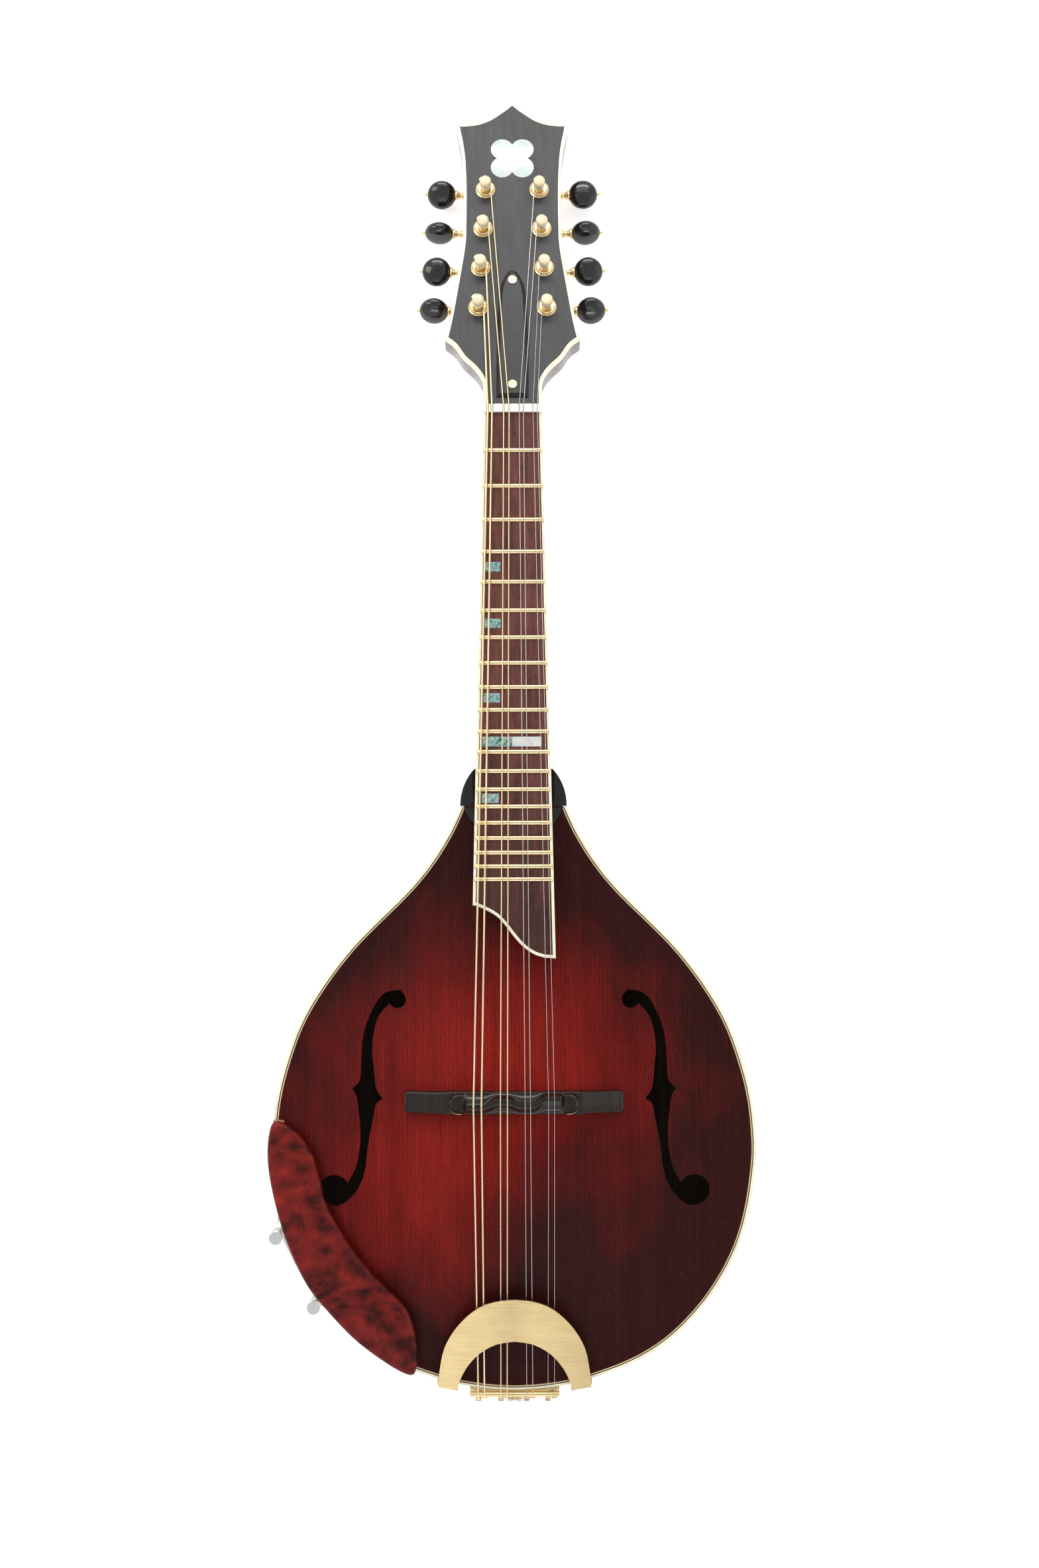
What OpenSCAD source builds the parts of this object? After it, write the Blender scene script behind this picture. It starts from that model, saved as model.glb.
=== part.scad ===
// Carved-top mandolin: flat-ish oval ("teardrop") body with two sound
// holes, a raised fingerboard, geared tuners, an adjustable two-piece bridge,
// a bent crescent tailpiece and a clamp-on armrest.
// It lies on its back: +Z comes out of the top, +Y runs from the tail to the
// headstock and +X is the treble side. The origin is on the strap pin.

/* [Scale and neck] */
// Open string length from nut to saddle
scale_len = 352.4; // [345:0.1:356]
// Number of frets
fret_count = 20; // [16:1:20]
// Board width at the nut
nut_w = 30.2; // [28:0.1:32]
// Tilt of the board against the body
neck_tilt = 5; // [4.5:0.1:5.5]
// Backward tilt of the headstock against the body
head_tilt = 17; // [15:0.5:18]
// Thickness of the fingerboard
board_t = 5; // [4.5:0.1:5.5]

/* [Body] */
// Depth of the rim including both plate edges
rim_depth = 44.5; // [42:0.5:47]
// Height of the top arch above the plate edge
top_arch = 15; // [13:0.5:15.5]
// Height of the back arch
back_arch = 14; // [12:0.5:16]
// Thickness of the carved plates
plate_t = 3.9; // [3.5:0.1:4.2]
// Thickness of the ribs
rib_t = 2; // [1.6:0.1:2.4]
// Width of the edge binding with its purfling
bind_w = 2.6; // [2.2:0.1:3]

/* [Headstock and tuners] */
// Thickness of the headstock with its veneer
head_t = 15; // [14:0.5:16]
// Distance from one tuner post to the next
post_pitch = 23.02; // [22.8:0.01:23.4]
// Splay of each row of posts
post_splay = 3.05; // [2.5:0.05:3.5]
// Height of a post above the veneer
post_h = 11; // [10:0.5:12]
// Diameter of a tuner button
button_d = 14.6; // [13:0.1:15]
// Teeth on each worm wheel
wheel_teeth = 16; // [16:1:16]

/* [Bridge] */
// Height of the saddle crest above the rim's top
crest_h = 30.8; // [30:0.1:31.5]
// Length of the bridge base
base_len = 111.5; // [105:0.5:114]
// Distance from the centre to each adjusting stud
stud_x = 27.8; // [26:0.1:29]

/* [Strings] */
// Diameter of the fourth-course strings
g_dia = 1.0; // [0.9:0.02:1.04]
// Diameter of the third-course strings
d_dia = 0.66; // [0.6:0.02:0.7]
// Diameter of the second-course strings
a_dia = 0.38; // [0.36:0.01:0.42]
// Diameter of the first-course strings
e_dia = 0.28; // [0.25:0.01:0.3]

/* [Hidden] */
$fn = 48;

// body coordinates have y = 0 on the tail face and z = 0 at half the rim's depth
pin_y = 8.5;                // tail face to the middle of the strap pin's head
rim_z = rim_depth / 2;      // rim top and, negative, rim bottom
glue_z = rim_z - 4.25;      // glue face of the top plate on the ribs
join_y = 301;               // where the neck meets the body
join_half_w = 27.5;         // half the body's width there
nut_y = 504.3;              // front edge of the nut
nut_z = rim_z - 5;          // board surface at the nut
nut_t = 4.2;
head_y = nut_y + 4.4;       // where the headstock face starts
head_z = rim_z - 6;
crown = [0, 135];           // highest point of both plates

// ---------- curves ----------
// Catmull-Rom point between "from" and "to"
function spline(before, from, to, after, t) = 0.5 * ((2 * from) + (to - before) * t
  + (2 * before - 5 * from + 4 * to - after) * t * t
  + (3 * from - before - 3 * to + after) * t * t * t);
function point_at(points, i) = points[max(0, min(len(points) - 1, i))];
function step_count(from, to, step) = max(1, round(norm(to - from) / step));
// open smooth curve, one point about every "step" mm; "first" guides its start
function curve(points, step, first = undef) = concat(
  [for (i = [0 : len(points) - 2])
    let (count = step_count(points[i], points[i + 1], step))
    for (k = [0 : count - 1])
      spline(i == 0 && first != undef ? first : point_at(points, i - 1),
        points[i], points[i + 1], point_at(points, i + 2), k / count)],
  [points[len(points) - 1]]);
// closed smooth curve
function loop(points, step) = let (n = len(points)) [for (i = [0 : n - 1])
  let (next = points[(i + 1) % n], count = step_count(points[i], next, step))
  for (k = [0 : count - 1])
    spline(points[(i + n - 1) % n], points[i], next, points[(i + 2) % n], k / count)];
// vector of length "dist" to the left of the way from one point to another
function leftward(from, to, dist) = let (way = to - from, dir = way / max(1e-9, norm(way)))
  dist * [-dir[1], dir[0]];
// shift an open curve to its left
function shift(points, dist) = [for (i = [0 : len(points) - 1])
  points[i] + leftward(point_at(points, i - 1), point_at(points, i + 1), dist)];
// inset a closed anticlockwise curve
function inset(points, dist) = let (n = len(points)) [for (i = [0 : n - 1])
  points[i] + leftward(points[(i + n - 1) % n], points[(i + 1) % n], dist)];
// mirror in x and run backwards
function flipx(points) = [for (i = [len(points) - 1 : -1 : 0]) [-points[i][0], points[i][1]]];
function without_first(points) = [for (i = [1 : len(points) - 1]) points[i]];
function without_last(points) = [for (i = [0 : len(points) - 2]) points[i]];
// both halves of a symmetric outline; "whole" is for halves starting on the centre line
function mirrored(half) = concat(half, flipx(half));
function whole(half) = concat(half, without_last(flipx(half)));

// ---------- shared solids ----------
module layer(z, height) translate([0, 0, z]) linear_extrude(height) children();
module rod(z, radius, length) translate([0, 0, z]) cylinder(r = radius, h = length);
// coaxial rods, each [start, radius, length]
module stack(steps) for (s = steps) rod(s[0], s[1], s[2]);
// turn +Z to +Y at a place
module along_y(place) translate(place) rotate([-90, 0, 0]) children();

// faces between two rings of n points that start at indices "low" and "high"
function band_faces(low, high, n) = [for (i = [0 : n - 1]) let (j = (i + 1) % n)
  each [[low + j, low + i, high + i], [low + j, high + i, high + j]]];
function fan_faces(ring, tip, n) = [for (i = [0 : n - 1]) [ring + (i + 1) % n, ring + i, tip]];
function turned(faces) = [for (f = faces) [f[2], f[1], f[0]]];

// skin through rows of points, anticlockwise seen from the last row, closed at both ends
module skin(rows) {
  n = len(rows[0]);
  last = (len(rows) - 1) * n;
  polyhedron(points = [for (row = rows) each row], faces = concat(
    [[for (i = [0 : n - 1]) i]],
    [[for (i = [n - 1 : -1 : 0]) last + i]],
    [for (r = [0 : len(rows) - 2]) each band_faces(r * n, (r + 1) * n, n)]));
}

// ---------- body outline ----------
// treble half from tail to neck, [x, y]
half_pts = [[0, 0], [26, 2.4], [48.1, 8.8], [63.5, 15.1], [74.6, 21.7], [83.8, 28.8],
  [97, 42.7], [106.7, 56.6], [114.1, 70.6], [119, 84.4], [122.1, 98.2], [123.9, 112],
  [125, 124.2], [123.3, 146.6], [120.5, 160.6], [116.4, 174.1], [111.5, 187.8],
  [104.1, 201.5], [95.1, 215], [84.1, 228.9], [77.6, 235.7], [70.6, 242.6],
  [63.5, 249.4], [56.4, 256.3], [50.2, 263.1], [44.9, 269.8], [40.2, 276.4],
  [36.1, 283.2], [32.2, 289.9], [29.2, 296.6], [join_half_w, join_y]];
half_curve = curve(half_pts, 14, [-26, 2.6]);
// half outline moved in, kept square at the neck end and at the tail
function half_outline(dist) = let (line = shift(half_curve, dist), last = len(line) - 1)
  [for (i = [0 : last]) i == 0 ? [0, dist]
    : i == last ? [join_half_w - dist, join_y] : line[i]];
function body_poly(dist) = whole(half_outline(dist));
// strip between two insets of the outline
module body_ring(outer, inner) difference() {
  polygon(body_poly(outer));
  polygon(body_poly(inner));
}

// ---------- arching ----------
plate_edge = body_poly(bind_w + 0.03);
// share of the way from the crown (0) to the plate's edge (1) at a point
function edge_share(x, y) = let (ray = [x, y] - crown, n = len(plate_edge))
  norm(ray) < 0.01 ? 0 :
  1 / max(0.01, min([for (i = [0 : n - 1])
    let (start = plate_edge[i], side = plate_edge[(i + 1) % n] - start,
      det = cross(ray, side), parallel = abs(det) < 1e-9,
      reach = parallel ? 1e9 : cross(start - crown, side) / det,
      along = parallel ? -1 : cross(start - crown, ray) / det)
    (reach > 0 && along >= -0.001 && along <= 1.001) ? reach : 1e9]));
hollow_share = 0.075;            // share of the way taken by the edge hollow
hollow_depth = 0.7;
// height over the rim at a share of the way from edge (0) to crown (1)
function arch(share, height) = share < hollow_share
  ? -hollow_depth * sin(180 * share / hollow_share)
  : let (rise = (share - hollow_share) / (1 - hollow_share))
    height * (1 - pow(1 - pow(rise, 1.5), 2));
function top_z(x, y) = rim_z + arch(1 - edge_share(x, y), top_arch);
function underside(z) = max(glue_z, z - plate_t);

// rings of a plate as shares of the way from crown to edge
plate_rings = [1, 0.965, 0.925, 0.84, 0.74, 0.62, 0.48, 0.32, 0.16];
module arched_plate(height) {
  n = len(plate_edge);
  rings = len(plate_rings);
  under = rings * n;             // index of the first underside point
  last = (rings - 1) * n;        // start of the innermost ring
  outer = [for (share = plate_rings) for (p = plate_edge)
    let (q = crown + share * (p - crown)) [q[0], q[1], rim_z + arch(1 - share, height)]];
  inner = [for (p = outer) [p[0], p[1], underside(p[2])]];
  tips = [for (drop = [0, plate_t]) [crown[0], crown[1], rim_z + height - drop]];
  polyhedron(points = concat(outer, inner, tips), faces = concat(
    [for (r = [0 : rings - 2]) each band_faces(r * n, (r + 1) * n, n)],
    fan_faces(last, 2 * under, n),
    [for (r = [0 : rings - 2])
      each turned(band_faces(under + r * n, under + (r + 1) * n, n))],
    turned(fan_faces(under + last, 2 * under + 1, n)),
    turned(band_faces(0, under, n))));
}

// ---------- frames ----------
row_x = 17.9;                    // first post of a row from the headstock's centre
row_y = 55.2;                    // and from the start of its face
module placed() translate([0, pin_y, 0]) children();
module tilted(y, z, tilt) translate([0, y, z]) rotate([-tilt, 0, 0]) children();
module on_board() tilted(nut_y, nut_z, neck_tilt) children();
module board_frame() placed() on_board() children();
module head_frame() placed() tilted(head_y, head_z, head_tilt) children();
// tuner i: 1..4 bass row and 8..5 treble row, counted up from the nut
function side_of(i) = i <= 4 ? -1 : 1;
function rank_of(i) = i <= 4 ? i - 1 : 8 - i;
module in_row(side) translate([side * row_x, row_y, 0])
  rotate([0, 0, side * post_splay]) children();
module at_post(i) in_row(side_of(i)) translate([0, post_pitch * rank_of(i), 0]) children();
module row_frame(side) head_frame() in_row(side) children();
module tuner_frame(i) head_frame() at_post(i) children();
// the same frames as functions, giving a point's place in the body
function from_tilted(p, y, z, tilt) = [p[0], y + p[1] * cos(tilt) + p[2] * sin(tilt),
  z - p[1] * sin(tilt) + p[2] * cos(tilt)];
function from_row(side, p) = from_tilted(
  [side * row_x + p[0] * cos(post_splay) - side * p[1] * sin(post_splay),
    row_y + side * p[0] * sin(post_splay) + p[1] * cos(post_splay), p[2]],
  head_y, head_z, head_tilt);
function fret_y(n) = -scale_len * (1 - pow(2, -n / 12));
function board_w(y) = nut_w - y * 10.8 / 241;
function to_board_y(y) = -(nut_y - y) / cos(neck_tilt);

// ---------- body ----------
// treble sound hole between its round ends, [x, y]
f_hole_pts = [[57.6, 206.7], [63.8, 206], [67.5, 204], [70.9, 200], [75.8, 189.5],
  [77.9, 180], [78.5, 168], [79.4, 160], [83.2, 156], [80.9, 152], [80, 146], [79, 137],
  [79.2, 126.5], [81.3, 116], [85.4, 107.6], [89, 103.6], [95, 99], [92.3, 95],
  [88.2, 96.5], [82.8, 101], [76.5, 115], [74.6, 129.5], [72.2, 141.5], [70.9, 148],
  [67.3, 151.1], [70.6, 156], [71.5, 162.5], [72.7, 174.3], [72.1, 184.5],
  [69.3, 193.5], [64.4, 199.2], [60.5, 200.5], [58, 203]];
module f_hole() {
  polygon(f_hole_pts);
  translate([59.9, 201.7]) circle(r = 4.5);
  translate([92.5, 103.5]) circle(r = 8);
}

module top_plate() color("firebrick") placed() difference() {
  arched_plate(top_arch);
  for (m = [0, 1]) mirror([m, 0, 0]) layer(5, 40) f_hole();
}

module back_plate() color("saddlebrown") placed() mirror([0, 0, 1]) arched_plate(back_arch);

pin_r = 3.5;                     // shank of the strap pin
module pin_hole(radius, depth) along_y([0, -2, 0]) cylinder(r = radius, h = depth);

// two bent ribs, split at the tail joint
module side_ribs() color("maroon") placed() difference() {
  layer(-glue_z, 2 * glue_z) body_ring(0, rib_t);
  translate([-0.05, -2, -glue_z - 1]) cube([0.1, 8, 2 * glue_z + 2]);
  pin_hole(pin_r + 0.2, 12);
}

// edge strips let into both plates, round the whole body
module body_binding() color("cornsilk") placed() for (z = [glue_z, -rim_z])
  layer(z, rim_z - glue_z) body_ring(0, bind_w);

// strips that widen the glue face between ribs and plates
lining_h = 7;
lining_w = 5.5;
module linings() color("burlywood") placed() for (z = [glue_z - lining_h, -glue_z])
  layer(z, lining_h) difference() {
    body_ring(rib_t, rib_t + lining_w);
    translate([-35, -1]) square([70, 20]);
    translate([-60, 280]) square([120, 40]);
  }

// neck block with its dovetail socket, and tail block with the pin's hole
neck_block_y = 282;
module end_block(half_w, y, length) layer(-glue_z, 2 * glue_z) intersection() {
  polygon(body_poly(rib_t));
  translate([-half_w, y]) square([2 * half_w, length]);
}
module dovetail(gap) polygon([[-9 - gap, join_y + 1], [-11 - gap, join_y - 13 - gap],
  [11 + gap, join_y - 13 - gap], [9 + gap, join_y + 1]]);
module end_blocks() color("tan") placed() {
  difference() {
    end_block(60, neck_block_y, join_y - neck_block_y - 0.02);
    layer(-glue_z - 1, 2 * glue_z + 2) dovetail(0.1);
  }
  difference() {
    end_block(34, 0, 18);
    pin_hole(pin_r + 0.02, 30);
  }
}

// two spruce bars glued under the top, following its inner arch
bar_x = 24;
bar_w = 5;
bar_h = 11;
module tone_bars() color("wheat") placed() for (side = [-1, 1]) {
  stations = [for (y = [62 : 16 : 238]) [y, underside(top_z(bar_x, y))]];
  count = len(stations);
  translate([side * bar_x - bar_w / 2, 0, 0]) rotate([90, 0, 90]) linear_extrude(bar_w)
    polygon(concat([for (s = stations) [s[0], s[1] - 0.7]],
      [for (i = [count - 1 : -1 : 0]) let (share = (i + 0.5) / count)
        [stations[i][0], stations[i][1] - 1.4 - bar_h * pow(sin(180 * share), 0.6)]]));
}

// ---------- neck ----------
// stations of the shaft, [y from the nut, depth under the board]
shaft = [[4.4, 14.2], [-6, 14.4], [-30, 14.8], [-70, 15.4], [-110, 16], [-145, 16.8],
  [-162, 18.4], [-176, 22], [-188, 29], [-197, 38], [-204, 46]];
// levels of the heel, [z, radius]
heel_levels = [[-rim_z + 0.02, 14.2], [-18, 14.8], [-9, 17.2], [0, 20.5], [8, 23.8],
  [15, 26.4], [rim_z - 1.1, 27.45]];
// treble half of the headstock from its tip to the nut, [x, y]
upper_corner = [29.8, 163.7];
lower_corner = [35.2, 37.5];
head_half = [[0, 177.1], [3.2, 174], [7.6, 170.5], [13, 166.8], [18.4, 164.7],
  [23.9, 163.9], upper_corner, [28.9, 158], [27.9, 153], [26.6, 142.8], [25.9, 127.7],
  [25.8, 115.6], [25.9, 103.6], [26.3, 91.7], [28.7, 74.9], [31, 60.2], [32.8, 49.2],
  lower_corner, [30.3, 33.5], [25.6, 26.5], [20.3, 21.2], [16.9, 16.5], [15.3, 11.7],
  [15.1, 0.2]];
// headstock outline moved in, with its sharp points kept sharp
function head_poly(dist) = let (line = shift(head_half, -dist), last = len(line) - 1)
  whole([for (i = [0 : last]) let (p = head_half[i])
    i == 0 ? [0, p[1] - dist * 1.35] :
    i == last ? [p[0] - dist, p[1]] :
    p == upper_corner ? p + [-dist * 1.1, -dist] :
    p == lower_corner ? p + [-dist * 1.35, dist * 0.75] : line[i]]);

truss_z = -9.5;                  // rod's axis under the board's surface
pocket_y = 4.6;                  // opening over the truss nut
pocket_size = [8.8, 30];
cover_screw_y = [10.6, 70.4];    // on the truss cover, nut end and tip
head_bind_w = 1.6;
head_bind_h = 3;
veneer_t = 1.5;
bushing_hole_r = 4.05;
post_hole_r = 3.3;

module neck_shaft() skin([for (s = shaft) let (half_w = board_w(min(0, s[0])) / 2 - 0.3)
  [for (a = [0 : 15 : 180]) [-half_w * cos(a) * (1.02 - 0.02 * abs(cos(a))), s[0],
    -board_t - 0.02 - s[1] * pow(sin(a), 0.85)]]]);
module heel() skin([for (l = heel_levels) [for (a = [0 : 12 : 180])
  [l[1] * cos(a), join_y + 0.02 + l[1] * sin(a), l[0]]]]);
module neck() color("brown") difference() {
  union() {
    difference() {
      board_frame() neck_shaft();
      placed() translate([-60, join_y - 60, -60]) cube([120, 60.02, 100]);
    }
    placed() heel();
    placed() layer(-glue_z + 0.1, 2 * glue_z - 0.2) dovetail(0);
    // support of the board above the body's top
    placed() intersection() {
      translate([-18.6, 258, rim_z + 2.9]) cube([37.2, 60, 20]);
      on_board() translate([-30, -300, -board_t - 40.02]) cube([60, 300, 40]);
    }
    head_frame() {
      layer(-head_t, head_t - head_bind_h - 0.02) polygon(head_poly(0));
      layer(-3.5, 1.98) polygon(head_poly(head_bind_w + 0.03));
    }
  }
  // channel of the truss rod, pocket of its nut and hole of the cover's screw
  board_frame() along_y([0, -198, truss_z]) cylinder(r = 2.75, h = 208);
  head_frame() translate([-pocket_size[0] / 2, pocket_y, -12])
    cube([pocket_size[0], pocket_size[1], 14]);
  head_frame() translate([0, cover_screw_y[1], -5]) cylinder(r = 1.05, h = 6);
  // seat of the nut
  board_frame() translate([-30, -0.02, -board_t - 0.02]) cube([60, 5, 12]);
  for (i = [1 : 8]) tuner_frame(i) stack([[-9, bushing_hole_r, 12], [-20, post_hole_r, 20]]);
}

rod_len = 196;                   // truss rod behind the nut's front edge
rod_end = 7.2;                   // where its thinner end starts
module truss_rod() color("silver") board_frame() {
  along_y([0, -rod_len, truss_z]) cylinder(r = 2.5, h = rod_len + rod_end);
  along_y([0, rod_end, truss_z]) cylinder(r = 1.5, h = 9.5);
}
// hexagonal brass nut on the rod's end
module truss_nut() color("goldenrod") board_frame() along_y([0, 8.4, truss_z]) difference() {
  union() {
    cylinder(r = 3.3, h = 7.4, $fn = 6);
    cylinder(r = 3.4, h = 1);
  }
  rod(-1, 1.56, 12);
}

// black caps that hide the neck joint, on the top and under the heel
cap_r = 27.4;
module joint_caps() color("black") placed() {
  layer(rim_z - 1.05, 1.3) difference() {
    intersection() {
      translate([0, join_y + 0.6]) circle(r = cap_r);
      translate([-40, join_y + 0.6]) square([80, 40]);
    }
    polygon([[-20.2, join_y - 1], [20.2, join_y - 1], [19.6, join_y + 40], [-19.6, join_y + 40]]);
  }
  layer(rim_z + 0.06, 0.9) intersection() {
    translate([0, join_y + 9]) circle(r = cap_r);
    for (x = [-24.8, 19]) translate([x, join_y - 30]) square([5.8, 29.4]);
  }
  layer(-rim_z - 2, 2) intersection() {
    translate([0, join_y]) circle(r = 14.1);
    translate([-40, join_y + 0.05]) square([80, 40]);
  }
}

// ---------- fingerboard ----------
board_bind_w = 1.5;
// end of the board over the body, bass to treble, [x, y in the body]
end_pts = [[-19, 250.6], [-15.5, 249], [-11.7, 247.1], [-7.8, 244.4], [-3.9, 240.1],
  [-0.1, 235.1], [4.5, 230], [10, 226.1], [15.4, 224.2]];
bass_end = to_board_y(end_pts[0][1]);
treble_end = to_board_y(223.7);
function board_poly(dist) = concat(
  [[-board_w(0) / 2 + dist, 0], [-board_w(bass_end) / 2 + dist, bass_end + dist]],
  shift([for (p = end_pts) [p[0], to_board_y(p[1])]], dist),
  [[board_w(treble_end) / 2 - dist, treble_end + dist], [board_w(0) / 2 - dist, 0]]);
module fingerboard() color("#3a1d17") board_frame() difference() {
  layer(-board_t, board_t) polygon(board_poly(board_bind_w));
  for (n = [1 : fret_count]) translate([-30, fret_y(n) - 0.3, -1.8]) cube([60, 0.6, 3]);
  markers(0);
}
module fingerboard_binding() color("cornsilk") board_frame() layer(-board_t, board_t)
  difference() {
    polygon(board_poly(0));
    polygon(board_poly(board_bind_w));
  }
// low crowned wires across the board, each with a tang in its slot
module frets() color("gold") board_frame() for (n = [1 : fret_count])
  translate([0, fret_y(n), 0]) {
    width = board_w(fret_y(n));
    difference() {
      translate([-width / 2 + 0.3, 0, 0.06]) rotate([0, 90, 0])
        cylinder(r = 1.02, h = width - 0.6, $fn = 24);
      translate([-30, -3, -3]) cube([60, 6, 3.02]);
    }
    translate([-width / 2 + 1.6, -0.27, -1.7]) cube([width - 3.2, 0.54, 1.9]);
  }
// inlaid rectangles, [centre x, centre y in the body, width, length]
marks = [[-10.5, 424, 8, 4.8], [-10.5, 394.8, 8, 4.8], [-10.9, 356.4, 8.2, 4.8],
  [-8.2, 334, 15, 5], [6.9, 334, 15, 5], [-11.8, 305, 8.6, 4.8]];
mark_depth = 1.3;
// inlays smaller by a gap all round or, without a gap, cutters standing 1 mm proud
module markers(gap) for (m = marks)
  translate([m[0] - m[2] / 2 + gap, to_board_y(m[1]) - m[3] / 2 + gap, -mark_depth + gap])
    cube([m[2] - 2 * gap, m[3] - 2 * gap, mark_depth + (gap > 0 ? -gap : 1)]);
// plain four-lobed pearl rosette on the headstock
rosette_y = 143;
rosette_t = 1.45;
module rosette(gap) {
  for (a = [45 : 90 : 315]) rotate(a) translate([7.6, 0]) circle(r = 6 - gap);
  circle(r = 6.4 - gap);
}
module pearl_inlays() color("whitesmoke") {
  board_frame() markers(0.03);
  head_frame() translate([0, rosette_y, -rosette_t]) linear_extrude(rosette_t) rosette(0.04);
}

// ---------- string run ----------
// strings k = 0..7 from bass to treble, two to a course
nut_x = [-12.8, -10.6, -4.6, -1.8, 3.4, 5.6, 10.5, 12.7];
saddle_x = [-20.4, -16.4, -6.8, -3.3, 5.6, 8.3, 17.4, 20.4];
hook_x = [-18.7, -15.5, -7.1, -3.9, 6.2, 9.3, 17.1, 20.4];
course_dia = [g_dia, d_dia, a_dia, e_dia];
course_y = [149.4, 151.8, 150, 153.1];  // contact on the saddle, compensated
function course(k) = floor(k / 2);
function string_r(k) = course_dia[course(k)] / 2;
wrap_z = 5.6;                    // height of the top winding above the veneer
nut_top = 1.95;                  // nut height above the board, level with string centres
function nut_pt(k) = from_tilted([nut_x[k], nut_t / 2, nut_top], nut_y, nut_z, neck_tilt);
function saddle_pt(k) = [saddle_x[k], course_y[course(k)], rim_z + crest_h];
function roll_pt(k) = [hook_x[k], -2.6, rim_z + 2.45 + string_r(k)];
function hook_z(k) = rim_z - (k % 2 == 0 ? 5 : 11.5);
module nut() color("ivory") difference() {
  board_frame() translate([-nut_w / 2, 0.02, -board_t])
    cube([nut_w, nut_t - 0.04, board_t + nut_top]);
  // one slot a string, its width and depth following the string's radius
  for (k = [0 : 7]) let (r = string_r(k)) board_frame()
    translate([nut_x[k] - r - 0.28, -1, nut_top - r - 0.5])
      cube([2 * r + 0.56, nut_t + 2, 3]);
}

// ---------- headstock ----------
module headstock_veneer() color("#141012") head_frame() difference() {
  layer(-veneer_t, veneer_t) difference() {
    polygon(head_poly(head_bind_w + 0.03));
    translate([-pocket_size[0] / 2, pocket_y]) square(pocket_size);
    translate([0, rosette_y]) rosette(0);
  }
  for (i = [1 : 8]) at_post(i) rod(-3, bushing_hole_r, 6);
  translate([0, cover_screw_y[1], -5]) cylinder(r = 1.1, h = 9);
}
module headstock_binding() color("cornsilk") head_frame() layer(-head_bind_h, head_bind_h)
  difference() {
    polygon(head_poly(0));
    polygon(head_poly(head_bind_w));
    translate([-40, -1]) square([80, 1.4]);
  }

// treble half of the truss cover from the nut to its tip, [x, y]
cover_pts = [[8.3, 3.9], [8.3, 30], [7.8, 45], [7.2, 55.7], [5.9, 64.5], [3.6, 72.2],
  [1.2, 75.9]];
function cover_poly(dist) = mirrored([for (p = shift(cover_pts, dist))
  [p[0], max(cover_pts[0][1] + dist, p[1])]]);
// bell-shaped cover plate over the truss nut
module truss_cover() color("black") head_frame() difference() {
  union() {
    layer(0.03, 0.9) polygon(cover_poly(0));
    layer(0.93, 0.55) polygon(cover_poly(0.7));
  }
  for (y = cover_screw_y) translate([0, y, -1]) cylinder(r = 1.2, h = 6);
}

plate_screw_y = [-8.2, 15.6, 38.6, 61.6, 81.5];
// on the tailpiece, [x, z, distance out from the rim]
tail_screws = [[-14, -4, 1.68], [14, -4, 1.68], [0, -10, 1.53]];
module slot_screw(head_r, height, shank) difference() {
  union() {
    cylinder(r = head_r, h = height);
    rod(-shank, 1, shank);
  }
  translate([-head_r - 1, -0.3, height - 0.35]) cube([2 * head_r + 2, 0.6, 1]);
}
module small_screws() color("goldenrod") {
  head_frame() {
    translate([0, cover_screw_y[1], 1.5]) slot_screw(2.25, 0.65, 4.5);
    translate([0, cover_screw_y[0], 1.5]) slot_screw(2.25, 0.5, 1.2);
  }
  for (side = [-1, 1]) row_frame(side) for (y = plate_screw_y)
    translate([0, y, -head_t - 1.03]) rotate([180, 0, 0]) slot_screw(1.9, 0.8, 0.9);
  placed() for (p = tail_screws) translate([p[0], tail_y(p[0]) - p[2], p[1]])
    rotate([90, 0, 0]) difference() {
      cylinder(r = 2.2, h = 1.2);
      translate([-4, -0.3, 0.8]) cube([8, 0.6, 1]);
    }
}

// ---------- tuners ----------
wheel_z = -20.5;                 // wheels and worms, from the headstock's face
worm_y = 7.2;                    // centre distance of a wheel and its worm
wheel_pitch_r = 4.8;
lead = 2 * PI * wheel_pitch_r / wheel_teeth;
strip_ends = [-11, 84];          // centres of the tuner plate's round ends
strip_r = 5.8;
strip_t = 0.98;
bracket_z = -24;                 // bottom of the worm brackets
module tuner_plates() color("gold") for (side = [-1, 1]) row_frame(side) difference() {
  union() {
    translate([-strip_r, strip_ends[0], -head_t - 1])
      cube([2 * strip_r, strip_ends[1] - strip_ends[0], strip_t]);
    for (y = strip_ends) translate([0, y, -head_t - 1]) cylinder(r = strip_r, h = strip_t);
    for (k = [0 : 3]) for (x = [-6.8, 5.6])
      translate([x, post_pitch * k + worm_y - 3, bracket_z])
        cube([1.2, 6, -bracket_z - head_t - 0.02]);
  }
  for (k = [0 : 3]) {
    translate([0, post_pitch * k, -30]) cylinder(r = post_hole_r, h = 20);
    translate([-9, post_pitch * k + worm_y, wheel_z]) rotate([0, 90, 0])
      cylinder(r = 1.56, h = 18);
  }
  for (y = plate_screw_y) translate([0, y, -20]) cylinder(r = 1.1, h = 10);
}
// section of a bushing, [radius, z]
bushing_pts = [[3.05, -8.5], [4, -8.5], [4, 0.03], [5.15, 0.03], [5.15, 0.5], [4.5, 0.9],
  [4.4, 1.5], [3.7, 2.1], [3.05, 2.1]];
module post_bushings() color("goldenrod") for (i = [1 : 8]) tuner_frame(i)
  rotate_extrude() polygon(bushing_pts);

module wheel() linear_extrude(2.6, center = true) difference() {
  polygon([for (k = [0 : wheel_teeth * 6 - 1])
    let (a = k * 60 / wheel_teeth, radius = 4.5 - 0.4 * cos(wheel_teeth * (a - 90)))
    radius * [cos(a), sin(a)]]);
  circle(r = 2.24);
}
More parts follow.
